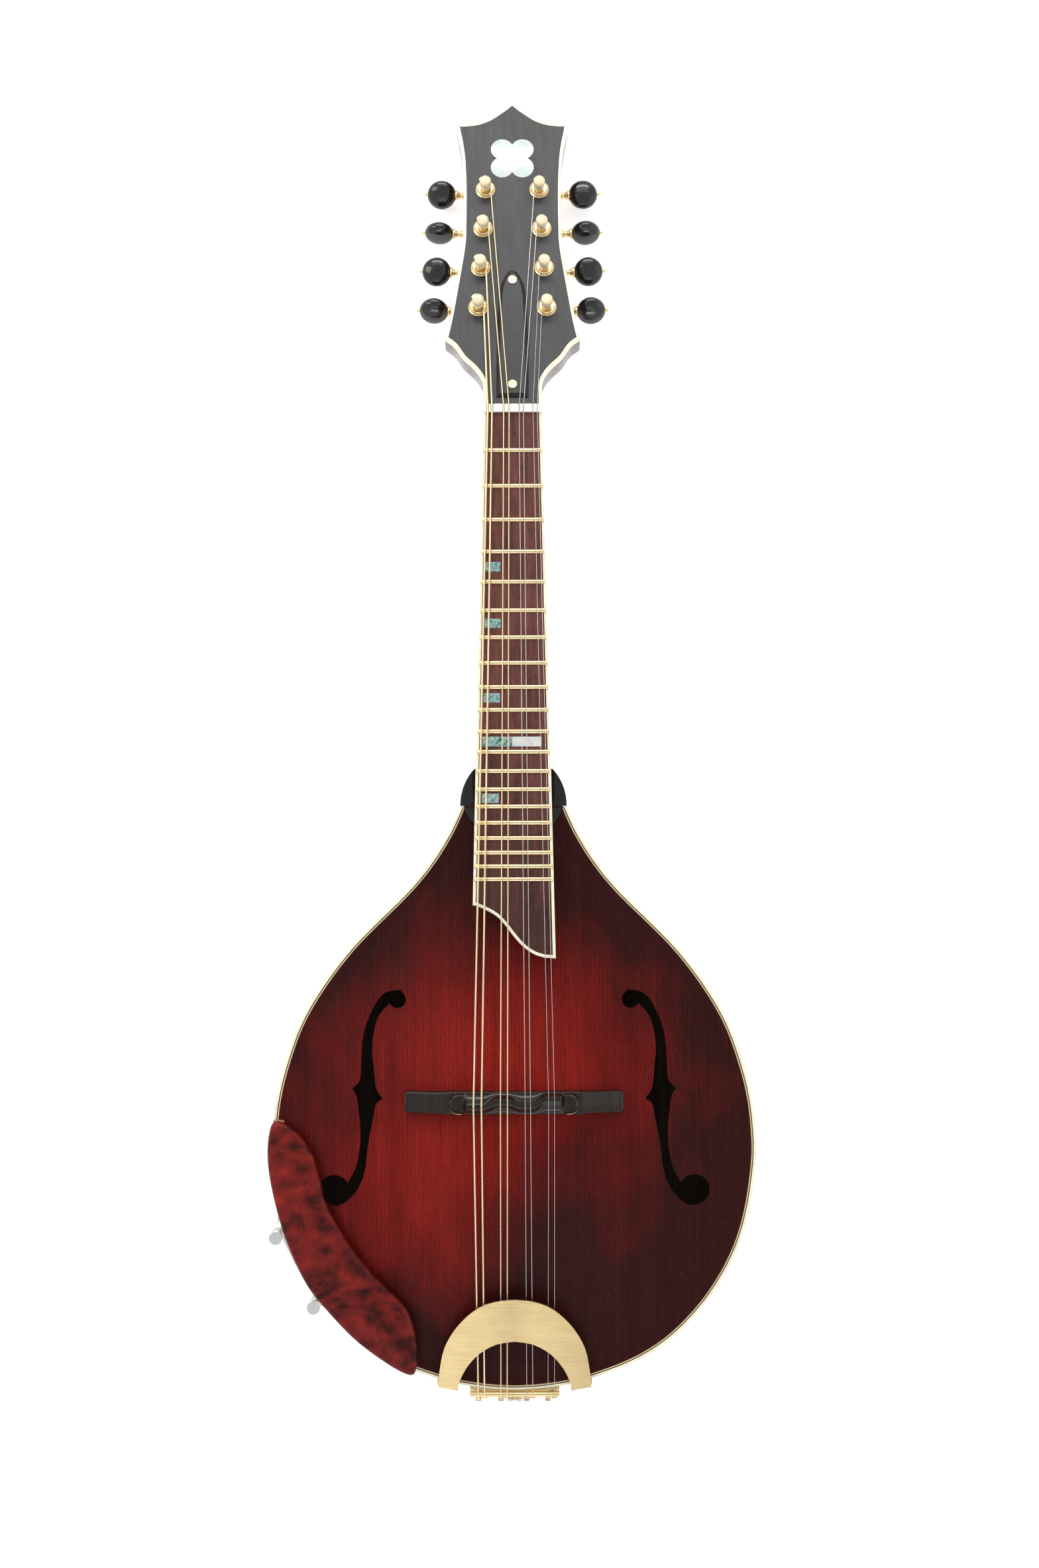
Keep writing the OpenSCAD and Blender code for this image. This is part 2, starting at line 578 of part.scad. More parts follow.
// string turns round the post, ordered from the top turn down
module windings(k) {
  r = string_r(k);
  for (j = [0 : course(k) + 1]) translate([0, 0, wrap_z - j * (2 * r + 0.04)])
    rotate_extrude() translate([2.32 + r, 0]) circle(r = r, $fn = 16);
}
// post i with its wheel, the wheel's screw and the turns of its string
module post(i) tuner_frame(i) {
  difference() {
    union() {
      stack([[-head_t - 3.5, 3, head_t + 5.8], [2.2, 2.3, 5.3], [7.4, 3, post_h - 8.6],
        [wheel_z - 1.35, 2.2, 4]]);
      translate([0, 0, post_h - 1.22]) rotate_extrude()
        polygon([[0, 0], [3, 0], [2.7, 0.65], [1.8, 1.05], [0, 1.22]]);
    }
    translate([0, 0, 8.6]) rotate([0, 90, 0]) rod(-5, 0.6, 10);
    rod(wheel_z - 5, 1.05, 8);
  }
  translate([0, 0, wheel_z]) wheel();
  translate([0, 0, wheel_z - 1.38]) rotate([180, 0, 0]) slot_screw(2.9, 1.3, 3);
  windings(i - 1);
}
module post_1() color("gold") post(1);
module post_2() color("gold") post(2);
module post_3() color("gold") post(3);
module post_4() color("gold") post(4);
module post_5() color("gold") post(5);
module post_6() color("gold") post(6);
module post_7() color("gold") post(7);
module post_8() color("gold") post(8);

// worm: thin discs set off centre, each turned on from the last
discs_a_turn = 10;
worm_offset = 0.4;
worm_shaft = [[-8, 1.5, 39.4], [-8.2, 2.3, 1.2], [7, 2.6, 1.6], [8.6, 2, 4],
  [14.6, 2.1, 1.2], [15.8, 3, 1], [31.4, 1.1, 1.9]];
module worm(i) tuner_frame(i) translate([0, worm_y, wheel_z]) {
  disc_w = lead / discs_a_turn;
  for (k = [-18 : 17]) let (a = 180 + 360 * (k + 0.5) / discs_a_turn)
    translate([k * disc_w, worm_offset * cos(a), worm_offset * sin(a)])
      rotate([0, 90, 0]) cylinder(r = 2.4, h = disc_w, $fn = 32);
  rotate([0, side_of(i) * 90, 0]) stack(worm_shaft);
}
module worm_1() color("gold") worm(1);
module worm_2() color("gold") worm(2);
module worm_3() color("gold") worm(3);
module worm_4() color("gold") worm(4);
module worm_5() color("gold") worm(5);
module worm_6() color("gold") worm(6);
module worm_7() color("gold") worm(7);
module worm_8() color("gold") worm(8);

// resting angle of each button round its shaft
button_turn = [62, 24, 78, 40, 15, 70, 33, 55];
// upper half of a button's section, [distance in from its edge, height]
button_edge = [[0, 0], [0.3, 1.7], [1.1, 2.9], [2.4, 3.5]];
button_half_t = 3.5;
module button(i) tuner_frame(i) translate([0, worm_y, wheel_z]) difference() {
  r = button_d / 2;
  rotate([button_turn[i - 1], 0, 0]) translate([side_of(i) * 24.2, 0, 0]) rotate_extrude()
    polygon(concat([[0, -button_half_t]],
      [for (k = [3 : -1 : 1]) [r - button_edge[k][0], -button_edge[k][1]]],
      [for (p = button_edge) [r - p[0], p[1]]], [[0, button_half_t]]));
  translate([-50, 0, 0]) rotate([0, 90, 0]) cylinder(r = 1.52, h = 100);
}
module button_1() color("#151010") button(1);
module button_2() color("#151010") button(2);
module button_3() color("#151010") button(3);
module button_4() color("#151010") button(4);
module button_5() color("#151010") button(5);
module button_6() color("#151010") button(6);
module button_7() color("#151010") button(7);
module button_8() color("#151010") button(8);

// ---------- strings ----------
module rod_between(from, to, radius) {
  way = to - from;
  length = norm(way);
  translate(from) rotate([0, acos(way[2] / length), atan2(way[1], way[0])])
    cylinder(r = radius, h = length, $fn = 16);
}
// where a string leaves its post, on the post's inner side
function wrap_pt(k) = let (i = k + 1, side = side_of(i))
  from_row(side, [-side * (2.5 + 3 * string_r(k)), post_pitch * rank_of(i) - 1.0, wrap_z]);
module string_path(k) placed() {
  r = string_r(k);
  // post, nut, saddle, tailpiece roll, behind the roll, hook
  points = [wrap_pt(k), nut_pt(k), saddle_pt(k) + [0, 0, r + 0.03], roll_pt(k),
    [hook_x[k], -3.6 - r, rim_z + 0.9], [hook_x[k], -4.2, hook_z(k) + 1.4 + r]];
  for (j = [0 : 4]) rod_between(points[j], points[j + 1], r);
  for (j = [1 : 4]) translate(points[j]) sphere(r = 1.12 * r + 0.03, $fn = 16);
  // loop over the hook
  translate([hook_x[k], -4.2, hook_z(k)]) rotate([90, 0, 0]) rotate_extrude($fn = 24)
    translate([1.4 + r, 0]) circle(r = r + 0.03, $fn = 16);
}
module wound_strings() color("peru") for (k = [0 : 3]) string_path(k);
module plain_strings() color("silver") for (k = [4 : 7]) string_path(k);

// ---------- bridge ----------
stud_y = 150.4;
module at_stud(side) placed() translate([side * stud_x, stud_y, rim_z]) children();
module bridge_base() color("#1a1210") difference() {
  half_len = base_len / 2;
  // treble half of the upper edge, [x, height over the rim]
  shoulder = [[half_len, 12.6], [half_len - 3, 14.4], [44, 17.2], [36, 20.7], [33, 21.2]];
  placed() translate([0, 156.2, 0]) rotate([90, 0, 0]) linear_extrude(11.6) polygon(concat(
    [for (x = [-half_len : half_len / 12 : half_len + 0.1])
      [x, max([for (y = [144.8, 150, 156]) top_z(x, y)]) + (abs(x) < 17 ? 1.6 : 0.12)]],
    [for (p = mirrored(shoulder)) [p[0], rim_z + p[1]]]));
  for (side = [-1, 1]) at_stud(side) rod(16, 1.52, 20);
}
module bridge_studs() color("silver") for (side = [-1, 1]) at_stud(side) rod(16.1, 1.5, 11.3);

thumb_r = 6;
thumb_t = 1.8;
module thumbwheel(side) at_stud(side) translate([0, 0, 23.1]) difference() {
  union() {
    cylinder(r = thumb_r, h = thumb_t);
    for (a = [0 : 15 : 345]) rotate(a) translate([thumb_r, 0, 0])
      cylinder(r = 0.35, h = thumb_t, $fn = 16);
  }
  rod(-1, 1.57, 5);
}
module thumbwheel_bass() color("gold") thumbwheel(-1);
module thumbwheel_treble() color("gold") thumbwheel(1);

// upper half of the bridge with a stepped, compensated crest
foot_x = 27.9;                   // centres of the foot's round ends
foot_r = 5.3;
beam_z = 27.5;                   // heights over the rim
step_z = 27.9;
// bass half of the beam's section, [x, height over the beam's bottom]
beam_half = [[-30.2, 0], [-30.2, 1.3], [-29.6, 1.9], [-26, 1.9],
  [-23.4, crest_h - 2.1 - beam_z]];
// crest of each course, [bass end x, length]
crests = [[-23.2, 11.3], [-11.9, 12.2], [0.3, 12.1], [12.4, 10.8]];
module saddle() color("#1a1210") difference() {
  placed() {
    translate([0, 150.9, rim_z + 24.92]) linear_extrude(2.6) {
      translate([-foot_x, -foot_r]) square([2 * foot_x, 2 * foot_r]);
      for (side = [-1, 1]) translate([side * foot_x, 0]) circle(r = foot_r);
    }
    translate([0, 155.8, rim_z + beam_z]) rotate([90, 0, 0]) linear_extrude(9.8)
      polygon(mirrored(beam_half));
    for (k = [0 : 3]) translate([crests[k][0], course_y[k] + 1.2, rim_z + step_z])
      rotate([90, 0, 90]) linear_extrude(crests[k][1])
        polygon([[-3.2, 0], [2.4, 0], [-1.0, crest_h - step_z], [-1.4, crest_h - step_z]]);
  }
  for (side = [-1, 1]) at_stud(side) rod(20, 1.6, 9);
}

// ---------- tailpiece ----------
// treble halves of the crescent's edges, [x, y]; outer to the centre, inner from it
crescent_outer = curve([[39.4, 3.2], [39.2, 6], [38.3, 13], [35.8, 24.5], [29.3, 35.6],
  [20.1, 44.4], [10.6, 48.6], [0, 49.9]], 3.5);
crescent_inner = curve([[0, 27.6], [9.5, 26], [18.3, 20.9], [24.9, 13.2], [28.7, 5],
  [29, 1.2]], 3.5);
crescent_y = 4;                  // where the crescent starts to rise
crescent_tilt = 12.8;
leg_x = 39.6;                    // outer edge of the legs
strip_z = -9;                    // bottom of the plate on the tail
// pieces of that plate, [inner x, outer x, height]
tail_strips = [[29, leg_x, rim_z - strip_z + 5], [0, leg_x, 20],
  [0, 23, rim_z - strip_z - 0.5]];
function tail_y(x) = 2.6 * pow(x / 26, 2);   // rim face near the tail's centre
module tail_strip(inner, outer) intersection() {
  body_ring(-1.5, -0.05);
  for (x = [inner, -outer]) translate([x, -5]) square([outer - inner, 14]);
}
module tailpiece() color("goldenrod") placed() difference() {
  union() {
    // crescent over the strings, rising towards the bridge
    translate([0, crescent_y, rim_z + 4.2]) rotate([crescent_tilt, 0, 0]) linear_extrude(1.2)
      polygon([for (p = concat(crescent_outer, without_first(flipx(crescent_outer)),
          flipx(crescent_inner), without_first(crescent_inner)))
        [p[0], (p[1] - crescent_y) / cos(crescent_tilt)]]);
    // plate down the tail, with a leg each side up to the crescent
    for (s = tail_strips) layer(strip_z, s[2]) tail_strip(s[0], s[1]);
    // rolled edge the strings bend over
    translate([-23, -1.6, rim_z + 1.2]) rotate([0, 90, 0]) cylinder(r = 1.3, h = 46);
    translate([-23, -1.62, rim_z - 3]) cube([46, 1.2, 4]);
    for (k = [0 : 7]) along_y([hook_x[k], -5.4, hook_z(k)])
      stack([[0, 1.3, 4.6 + tail_y(hook_x[k])], [-0.8, 1.65, 0.9]]);
  }
  translate([0, 4, 0]) rotate([90, 0, 0]) cylinder(r = pin_r + 0.2, h = 12);
}
module end_pin() color("silver") placed() rotate([90, 0, 0])
  stack([[-16, pin_r, 20], [1.75, 5.4, 2], [3, 4.2, 5], [7, 6.5, 3], [10, 5.2, 0.8]]);

// ---------- armrest ----------
// outline seen from above, anticlockwise, [x, y]
arm_curve = loop([[-122.5, 139.8], [-125.6, 133.6], [-126.4, 119.3], [-123.4, 100.6],
  [-116.8, 77.8], [-106.4, 55.8], [-94, 40.4], [-79.8, 26.2], [-62.6, 14], [-53, 9.9],
  [-50.2, 13.7], [-49.9, 24.2], [-52.5, 37.5], [-57.2, 46.1], [-68.6, 57.5],
  [-80.9, 71.7], [-90.4, 86], [-96.9, 99.3], [-99.7, 110.8], [-103.5, 123.1],
  [-110.1, 132.6], [-115.8, 137.4]], 12);
// [inset, height over the rim]
arm_levels = [[0, 5.2], [0, 6.4], [0.25, 7.4], [0.8, 8.4], [1.6, 9.1], [2.3, 9.5]];
arm_slope = 0.035;               // rise towards the body's middle
module armrest() color("#7a1712") placed() {
  skin([for (l = arm_levels) [for (p = inset(arm_curve, l[0]))
    [p[0], p[1], rim_z + l[1] + arm_slope * (p[0] + 125)]]]);
  // cork pad against the edge of the top
  layer(rim_z + 0.3, 4.2) intersection() {
    polygon(inset(arm_curve, 1.6));
    body_ring(0.4, 6);
  }
}

clamp_at = [[-122.6, 79.4], [-103.2, 43.6]];
clamp_rod_r = 1.5;
collar_z = 9.1;                  // lower end of the bracket's rods
module at_clamp(i) translate([clamp_at[i][0], clamp_at[i][1], 0]) children();
module armrest_bracket() color("silver") placed() for (i = [0, 1]) at_clamp(i)
  stack([[collar_z, clamp_rod_r, rim_z - collar_z + 4.2], [rim_z + 1, 3.4, 4],
    [collar_z, 2.2, 1.1]]);
// barrel holding the collar of the bracket's rod at the top, the foot's rod below
module clamp_barrel(i) placed() at_clamp(i) difference() {
  stack([[-12, 3.2, 26], [-12, 3.5, 2], [12, 3.5, 2]]);
  stack([[8, 1.57, 10], [8, 2.27, 3.2], [-13, 1.57, 22]]);
  translate([-4, 0, 0]) rotate([0, 90, 0]) cylinder(r = 0.7, h = 8);
}
module clamp_barrel_1() color("silver") clamp_barrel(0);
module clamp_barrel_2() color("silver") clamp_barrel(1);

// bar under the back edge, [x, y]
foot_curve = loop([[-126, 84], [-126.3, 77], [-117, 57], [-107.5, 41.2], [-102, 39.6],
  [-96.5, 43], [-93.5, 49.5], [-102, 62], [-109, 78], [-114.5, 85.5], [-121, 86.6]], 9);
// two rods joined by the bar, with a pad between it and the back
module clamp_foot() color("silver") placed() {
  for (i = [0, 1]) at_clamp(i) rod(-rim_z - 4.6, clamp_rod_r, rim_z + 4.6 + 4.2);
  layer(-rim_z - 5.6, 1.8) polygon(foot_curve);
  layer(-rim_z - 3.78, 1.7) intersection() {
    polygon(foot_curve);
    polygon(body_poly(0.5));
  }
}

top_plate();
back_plate();
side_ribs();
body_binding();
linings();
end_blocks();
tone_bars();
neck();
truss_rod();
truss_nut();
joint_caps();
fingerboard();
fingerboard_binding();
frets();
nut();
pearl_inlays();
headstock_veneer();
headstock_binding();
truss_cover();
small_screws();
tuner_plates();
post_bushings();
wound_strings();
plain_strings();
bridge_base();
bridge_studs();
thumbwheel_bass();
thumbwheel_treble();
saddle();
tailpiece();
end_pin();
armrest();
armrest_bracket();
clamp_foot();
clamp_barrel_1();
clamp_barrel_2();
post_1();
post_2();
post_3();
post_4();
post_5();
post_6();
post_7();
post_8();
worm_1();
worm_2();
worm_3();
worm_4();
worm_5();
worm_6();
worm_7();
worm_8();
button_1();
button_2();
button_3();
button_4();
button_5();
button_6();
button_7();
button_8();
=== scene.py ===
"""An eight-string archtop mandolin with a carved top and back, lying on its back.

Its top faces +Z, its head points to +Y and its treble side is at +X. The ribs are centred on
z = 0. Sizes are in millimetres and are scaled to metres as meshes are made. Materials, the
floor, lights and camera are in metres.
"""
from collections import namedtuple
from math import acos, atan2, cos, exp, hypot, pi, radians, sin, sqrt, tan

import bmesh
import bpy
import numpy as np
from mathutils import Matrix, Vector
from mathutils.geometry import delaunay_2d_cdt

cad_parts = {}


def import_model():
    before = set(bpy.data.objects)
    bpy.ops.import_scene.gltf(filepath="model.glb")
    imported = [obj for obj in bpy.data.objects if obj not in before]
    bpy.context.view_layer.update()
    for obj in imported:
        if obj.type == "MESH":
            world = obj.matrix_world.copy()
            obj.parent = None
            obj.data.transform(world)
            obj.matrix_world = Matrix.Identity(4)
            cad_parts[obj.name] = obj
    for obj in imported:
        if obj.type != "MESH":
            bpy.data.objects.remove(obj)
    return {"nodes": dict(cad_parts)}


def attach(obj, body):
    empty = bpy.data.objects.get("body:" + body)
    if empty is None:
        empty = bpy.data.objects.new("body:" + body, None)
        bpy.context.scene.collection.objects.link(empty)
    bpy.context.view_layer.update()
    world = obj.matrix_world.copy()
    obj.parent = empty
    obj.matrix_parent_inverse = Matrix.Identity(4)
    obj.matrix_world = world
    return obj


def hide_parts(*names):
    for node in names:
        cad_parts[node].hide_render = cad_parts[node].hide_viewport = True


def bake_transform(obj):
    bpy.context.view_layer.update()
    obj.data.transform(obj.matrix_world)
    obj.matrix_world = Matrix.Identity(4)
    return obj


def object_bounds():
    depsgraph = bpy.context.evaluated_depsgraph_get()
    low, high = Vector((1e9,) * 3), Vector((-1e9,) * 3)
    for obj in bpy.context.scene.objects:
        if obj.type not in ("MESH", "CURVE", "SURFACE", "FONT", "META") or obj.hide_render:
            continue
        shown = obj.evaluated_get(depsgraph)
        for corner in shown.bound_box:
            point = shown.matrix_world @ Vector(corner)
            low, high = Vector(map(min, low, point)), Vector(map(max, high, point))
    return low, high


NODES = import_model()["nodes"]
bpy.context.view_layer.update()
scene = bpy.context.scene

# ------------------------------------------------------------------ main sizes and frames
MM = 0.001
TAIL_Y = 8.5                # tail end of the body, in the frame of the CAD
RIM_Z = 22.25               # half the depth of the body at its rim
RIB_Z = RIM_Z - 4.25        # half the depth of the ribs, between the bindings
JOINT_Y = 301.0             # neck joint
NUT_Y = 504.3
NUT_Z = RIM_Z - 5
HEAD_Y = NUT_Y + 4.4
HEAD_Z = RIM_Z - 6
HEAD_THICK = 15.0
BOARD_TILT = radians(5)
HEAD_TILT = radians(17)
NECK_TOP = -5.02            # top of the neck wood under the fingerboard, in its frame
TUNER_X, TUNER_Y = 17.9, 55.2   # lowest tuner, in the frame of the head
TUNER_PITCH = 23.02
TUNER_SPLAY = radians(3.05)
TUNER_BORE = 4.05           # radius


def turn_x(angle):
    return Matrix.Rotation(angle, 4, "X")


def shift(*v):
    return Matrix.Translation(Vector(v))


BODY = shift(0, TAIL_Y, 0)
BOARD = shift(0, TAIL_Y + NUT_Y, NUT_Z) @ turn_x(-BOARD_TILT)
HEAD = shift(0, TAIL_Y + HEAD_Y, HEAD_Z) @ turn_x(-HEAD_TILT)


def side_of(number):
    """-1 for the bass tuners 1 to 4, 1 for the treble tuners 5 to 8."""
    return -1 if number <= 4 else 1


def tuner(number):
    """Frame of a tuner: 1 to 4 go up the bass side, 5 to 8 down the treble side."""
    side = side_of(number)
    rank = number - 1 if side < 0 else 8 - number
    row = HEAD @ shift(side * TUNER_X, TUNER_Y, 0) @ Matrix.Rotation(side * TUNER_SPLAY, 4, "Z")
    return row @ shift(0, TUNER_PITCH * rank, 0)


# ------------------------------------------------------------------ curves in the plane
def curve(points, step, before=None, loop=False):
    """Catmull-Rom curve; before is the point that sets its direction at the start."""
    points = [np.array(p, float) for p in points]
    if loop:
        points = [points[-1], *points, *points[:2]]
    else:
        first = 2 * points[0] - points[1] if before is None else np.array(before, float)
        points = [first, *points, 2 * points[-1] - points[-2]]
    out = []
    for a, b, c, d in zip(points, points[1:], points[2:], points[3:]):
        count = max(1, int(round(np.linalg.norm(c - b) / step)))
        for k in range(count):
            t = k / count
            out.append(0.5 * (2 * b + (c - a) * t + (2 * a - 5 * b + 4 * c - d) * t * t
                              + (3 * b - a - 3 * c + d) * t ** 3))
    if not loop:
        out.append(points[-2])
    return np.array(out)


def chain(segments, step):
    """Curves end to end, with a corner where two meet."""
    parts = [curve(segment, step) for segment in segments]
    return np.concatenate([part[:-1] for part in parts] + [parts[-1][-1:]])


def arc(radius, start, end, count, x=0, y=0, closed=False):
    angles = np.linspace(start, end, count, endpoint=not closed)
    return np.stack([x + radius * np.cos(angles), y + radius * np.sin(angles)], 1)


def circle(radius, count, x=0, y=0):
    return arc(radius, 0, 2 * pi, count, x, y, closed=True)


def mirror(path):
    """Path on the other side of the centre line, run the other way."""
    return (path * [-1, 1])[::-1]


def normals(path):
    """Unit vectors to the left of an open path."""
    tangents = np.gradient(path, axis=0)
    tangents /= np.maximum(np.linalg.norm(tangents, axis=1), 1e-9)[:, None]
    return np.stack([-tangents[:, 1], tangents[:, 0]], 1)


def mitres(path, loop=False):
    """Vectors that shift a path to its left by 1, mitred at its corners."""
    if loop:
        before, after = path - np.roll(path, 1, 0), np.roll(path, -1, 0) - path
    else:
        steps = np.diff(path, axis=0)
        before, after = np.vstack([steps[:1], steps]), np.vstack([steps, steps[-1:]])
    before = before / np.maximum(np.linalg.norm(before, axis=1), 1e-9)[:, None]
    after = after / np.maximum(np.linalg.norm(after, axis=1), 1e-9)[:, None]
    left = np.stack([-before[:, 1], before[:, 0]], 1)
    middle = left + np.stack([-after[:, 1], after[:, 0]], 1)
    middle /= np.maximum(np.linalg.norm(middle, axis=1), 1e-9)[:, None]
    return middle / np.maximum((middle * left).sum(1), 0.6)[:, None]


def inside(outline, points):
    x, y = points.T
    result = np.zeros(len(points), bool)
    for (x0, y0), (x1, y1) in zip(outline, np.roll(outline, -1, 0)):
        if y0 != y1:
            crossing = (x1 - x0) * (y - y0) / (y1 - y0) + x0
            result ^= ((y0 > y) != (y1 > y)) & (x < crossing)
    return result


def distance(path, points, loop=True):
    """Distance from each point to the nearest place on the path."""
    best = np.full(len(points), 1e9)
    for start, end in zip(path, np.roll(path, -1, 0) if loop else path[1:]):
        span = end - start
        t = np.clip(((points - start) @ span) / max(span @ span, 1e-12), 0, 1)
        gap = points - (start + t[:, None] * span)
        best = np.minimum(best, (gap * gap).sum(1))
    return np.sqrt(best)


def inset_path(path, inset):
    """Open path shifted to its left, without the loops that form at its corners."""
    moved = path + mitres(path) * inset
    return moved[distance(path, moved, loop=False) > inset * 0.985]


def smoothstep(t):
    t = np.clip(t, 0, 1)
    return t * t * (3 - 2 * t)


# ------------------------------------------------------------------ faces and vertices
def skin(rows, wrap=False, flip_caps=False):
    """Vertices and faces over rows of points, each row a closed ring.

    The end rings are capped, or joined to each other with wrap.
    """
    count, size = len(rows), len(rows[0])
    faces = []
    for i in range(count if wrap else count - 1):
        low, high = i * size, (i + 1) % count * size
        for j in range(size):
            k = (j + 1) % size
            faces.append((low + j, low + k, high + k, high + j))
    if not wrap:
        first, last = tuple(range(size)), tuple(range((count - 1) * size, count * size))
        faces += [first[::-1], last] if flip_caps else [first, last[::-1]]
    return [tuple(p) for row in rows for p in row], faces


def merged(parts):
    verts, faces = [], []
    for part_verts, part_faces in parts:
        start = len(verts)
        verts += part_verts
        faces += [tuple(i + start for i in face) for face in part_faces]
    return verts, faces


def tube(points, radius, sides):
    points = np.array(points, float)
    tangents = np.gradient(points, axis=0)
    tangents /= np.linalg.norm(tangents, axis=1)[:, None]
    up = np.array([0, 0, 1.0]) if abs(tangents[0][2]) < 0.9 else np.array([1.0, 0, 0])
    across = np.cross(up, tangents[0])
    rows = []
    for point, tangent in zip(points, tangents):
        across = across / np.linalg.norm(across)
        across = across - (across @ tangent) * tangent
        across /= np.linalg.norm(across)
        third = np.cross(tangent, across)
        rows.append([point + radius * (cos(2 * pi * k / sides) * across
                                       + sin(2 * pi * k / sides) * third)
                     for k in range(sides)])
    return skin(rows)


def between(start, end, fractions):
    return [tuple(start + (end - start) * t) for t in fractions]


def triangulate(points, edges, outline, holes=()):
    """Triangles over points in the plane, within the outline and clear of the holes."""
    verts, _, faces, *_ = delaunay_2d_cdt([Vector(p) for p in points], edges, [], 0, 1e-5)
    verts = np.array([tuple(v) for v in verts])
    triangles = np.array([face for face in faces if len(face) == 3])
    centres = verts[triangles].mean(1)
    keep = inside(outline, centres)
    for hole in holes:
        keep &= ~inside(hole, centres)
    triangles = triangles[keep]
    used = np.unique(triangles)
    index = -np.ones(len(verts), int)
    index[used] = np.arange(len(used))
    return verts[used], index[triangles]


def thick_faces(triangles, count):
    """Faces of a sheet, of its copy whose vertices start at count, and of the walls between."""
    faces = [tuple(t) for t in triangles] + [tuple(t[::-1] + count) for t in triangles]
    edges = dict.fromkeys((t[i], t[(i + 1) % 3]) for t in triangles for i in range(3))
    return faces + [(b, a, a + count, b + count) for a, b in edges if (b, a) not in edges]


# ------------------------------------------------------------------ objects
def add_object(name, data):
    ob = bpy.data.objects.new(name, data)
    scene.collection.objects.link(ob)
    return ob


def settle(ob, body, replaces=None):
    if body:
        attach(ob, body)
    if replaces:
        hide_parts(replaces)


def tidy(mesh, angle=35, merge=True):
    """Turns the faces outwards and shades smooth up to the angle, in degrees."""
    bm = bmesh.new()
    bm.from_mesh(mesh)
    if merge:
        bmesh.ops.remove_doubles(bm, verts=bm.verts, dist=1e-7)
        bmesh.ops.dissolve_degenerate(bm, dist=1e-7, edges=bm.edges)
    bmesh.ops.recalc_face_normals(bm, faces=bm.faces)
    bm.to_mesh(mesh)
    bm.free()
    mesh.shade_smooth()
    mesh.set_sharp_from_angle(angle=radians(angle))
    mesh.update()


def mesh_from(name, verts, faces, frame):
    mesh = bpy.data.meshes.new(name)
    mesh.from_pydata([tuple((frame @ Vector(p)) * MM) for p in verts], [], faces)
    mesh.validate()
    return mesh


def make(name, verts, faces, mat, frame=BODY, body="root", slot=None, replaces=None, angle=35):
    """Object from vertices in the given frame; body is what it rides on."""
    mesh = mesh_from(name, verts, faces, frame)
    ob = add_object(name, mesh)
    mesh.materials.append(mat)
    tidy(mesh, angle)
    settle(ob, body, replaces)
    return ob


def loft(name, rows, mat, **options):
    return make(name, *skin(rows), mat, **options)


def slab(name, outline, rings, mat, **options):
    """Solid from an anticlockwise outline; rings are (inset, z) from the bottom up."""
    shifts = mitres(outline, loop=True)
    rows = [[(*(p + s * inset), z) for p, s in zip(outline, shifts)] for inset, z in rings]
    return make(name, *skin(rows, flip_caps=True), mat, **options)


def strip(name, path, section, mat, shifts=None, **options):
    """Bar along an open path; section is a closed list of (inset, z)."""
    if shifts is None:
        shifts = mitres(path)
    rows = [[(*(p + s * inset), z) for inset, z in section] for p, s in zip(path, shifts)]
    return loft(name, rows, mat, **options)


def lathe(name, profile, mat, frame, sides, **options):
    """Turned piece; profile is (radius, height), with both ends on the axis."""
    verts = [(0, 0, profile[0][1])]
    for radius, z in profile[1:-1]:
        verts += [(radius * cos(2 * pi * k / sides), radius * sin(2 * pi * k / sides), z)
                  for k in range(sides)]
    verts.append((0, 0, profile[-1][1]))
    rings = [range(i, i + sides) for i in range(1, len(verts) - 1, sides)]
    turn = [(k, (k + 1) % sides) for k in range(sides)]
    faces = [(0, rings[0][k], rings[0][j]) for k, j in turn]
    for a, b in zip(rings, rings[1:]):
        faces += [(a[k], a[j], b[j], b[k]) for k, j in turn]
    faces += [(rings[-1][k], rings[-1][j], len(verts) - 1) for k, j in turn]
    return make(name, verts, faces, mat, frame, **options)


def soften(profile, cut=0.12):
    """Takes the corners off a turned profile."""
    points = [np.array(p, float) for p in profile]
    out = [points[0]]
    for before, corner, after in zip(points, points[1:], points[2:]):
        u, w = before - corner, after - corner
        u_length, w_length = np.linalg.norm(u), np.linalg.norm(w)
        if abs((u @ w) / u_length / w_length + 1) < 0.02:
            out.append(corner)
            continue
        size = min(cut, u_length * 0.4, w_length * 0.4)
        a, b = corner + u / u_length * size, corner + w / w_length * size
        out += [a, corner * 0.5 + (a + b) * 0.25, b]
    out.append(points[-1])
    return [tuple(p) for p in out]


def flatten(ob, frame):
    """Faces square to the frame take their own normal, so they shade evenly."""
    up = frame.to_3x3() @ Vector((0, 0, 1))
    for face in ob.data.polygons:
        if abs(face.normal.dot(up)) > 0.9995:
            face.use_smooth = False


def add_bevel(ob, width, segments=2):
    bevel = ob.modifiers.new("edge", "BEVEL")
    bevel.width = width * MM
    bevel.segments = segments
    bevel.limit_method = "ANGLE"
    bevel.angle_limit = radians(38)
    bevel.use_clamp_overlap = True


def dress(node, mat, bevel, segments=2):
    """Gives a CAD piece that stays its material and rounded edges."""
    ob = NODES[node]
    ob.data.materials.clear()
    ob.data.materials.append(mat)
    ob.data.polygons.foreach_set("material_index", [0] * len(ob.data.polygons))
    add_bevel(ob, bevel, segments)
    return ob


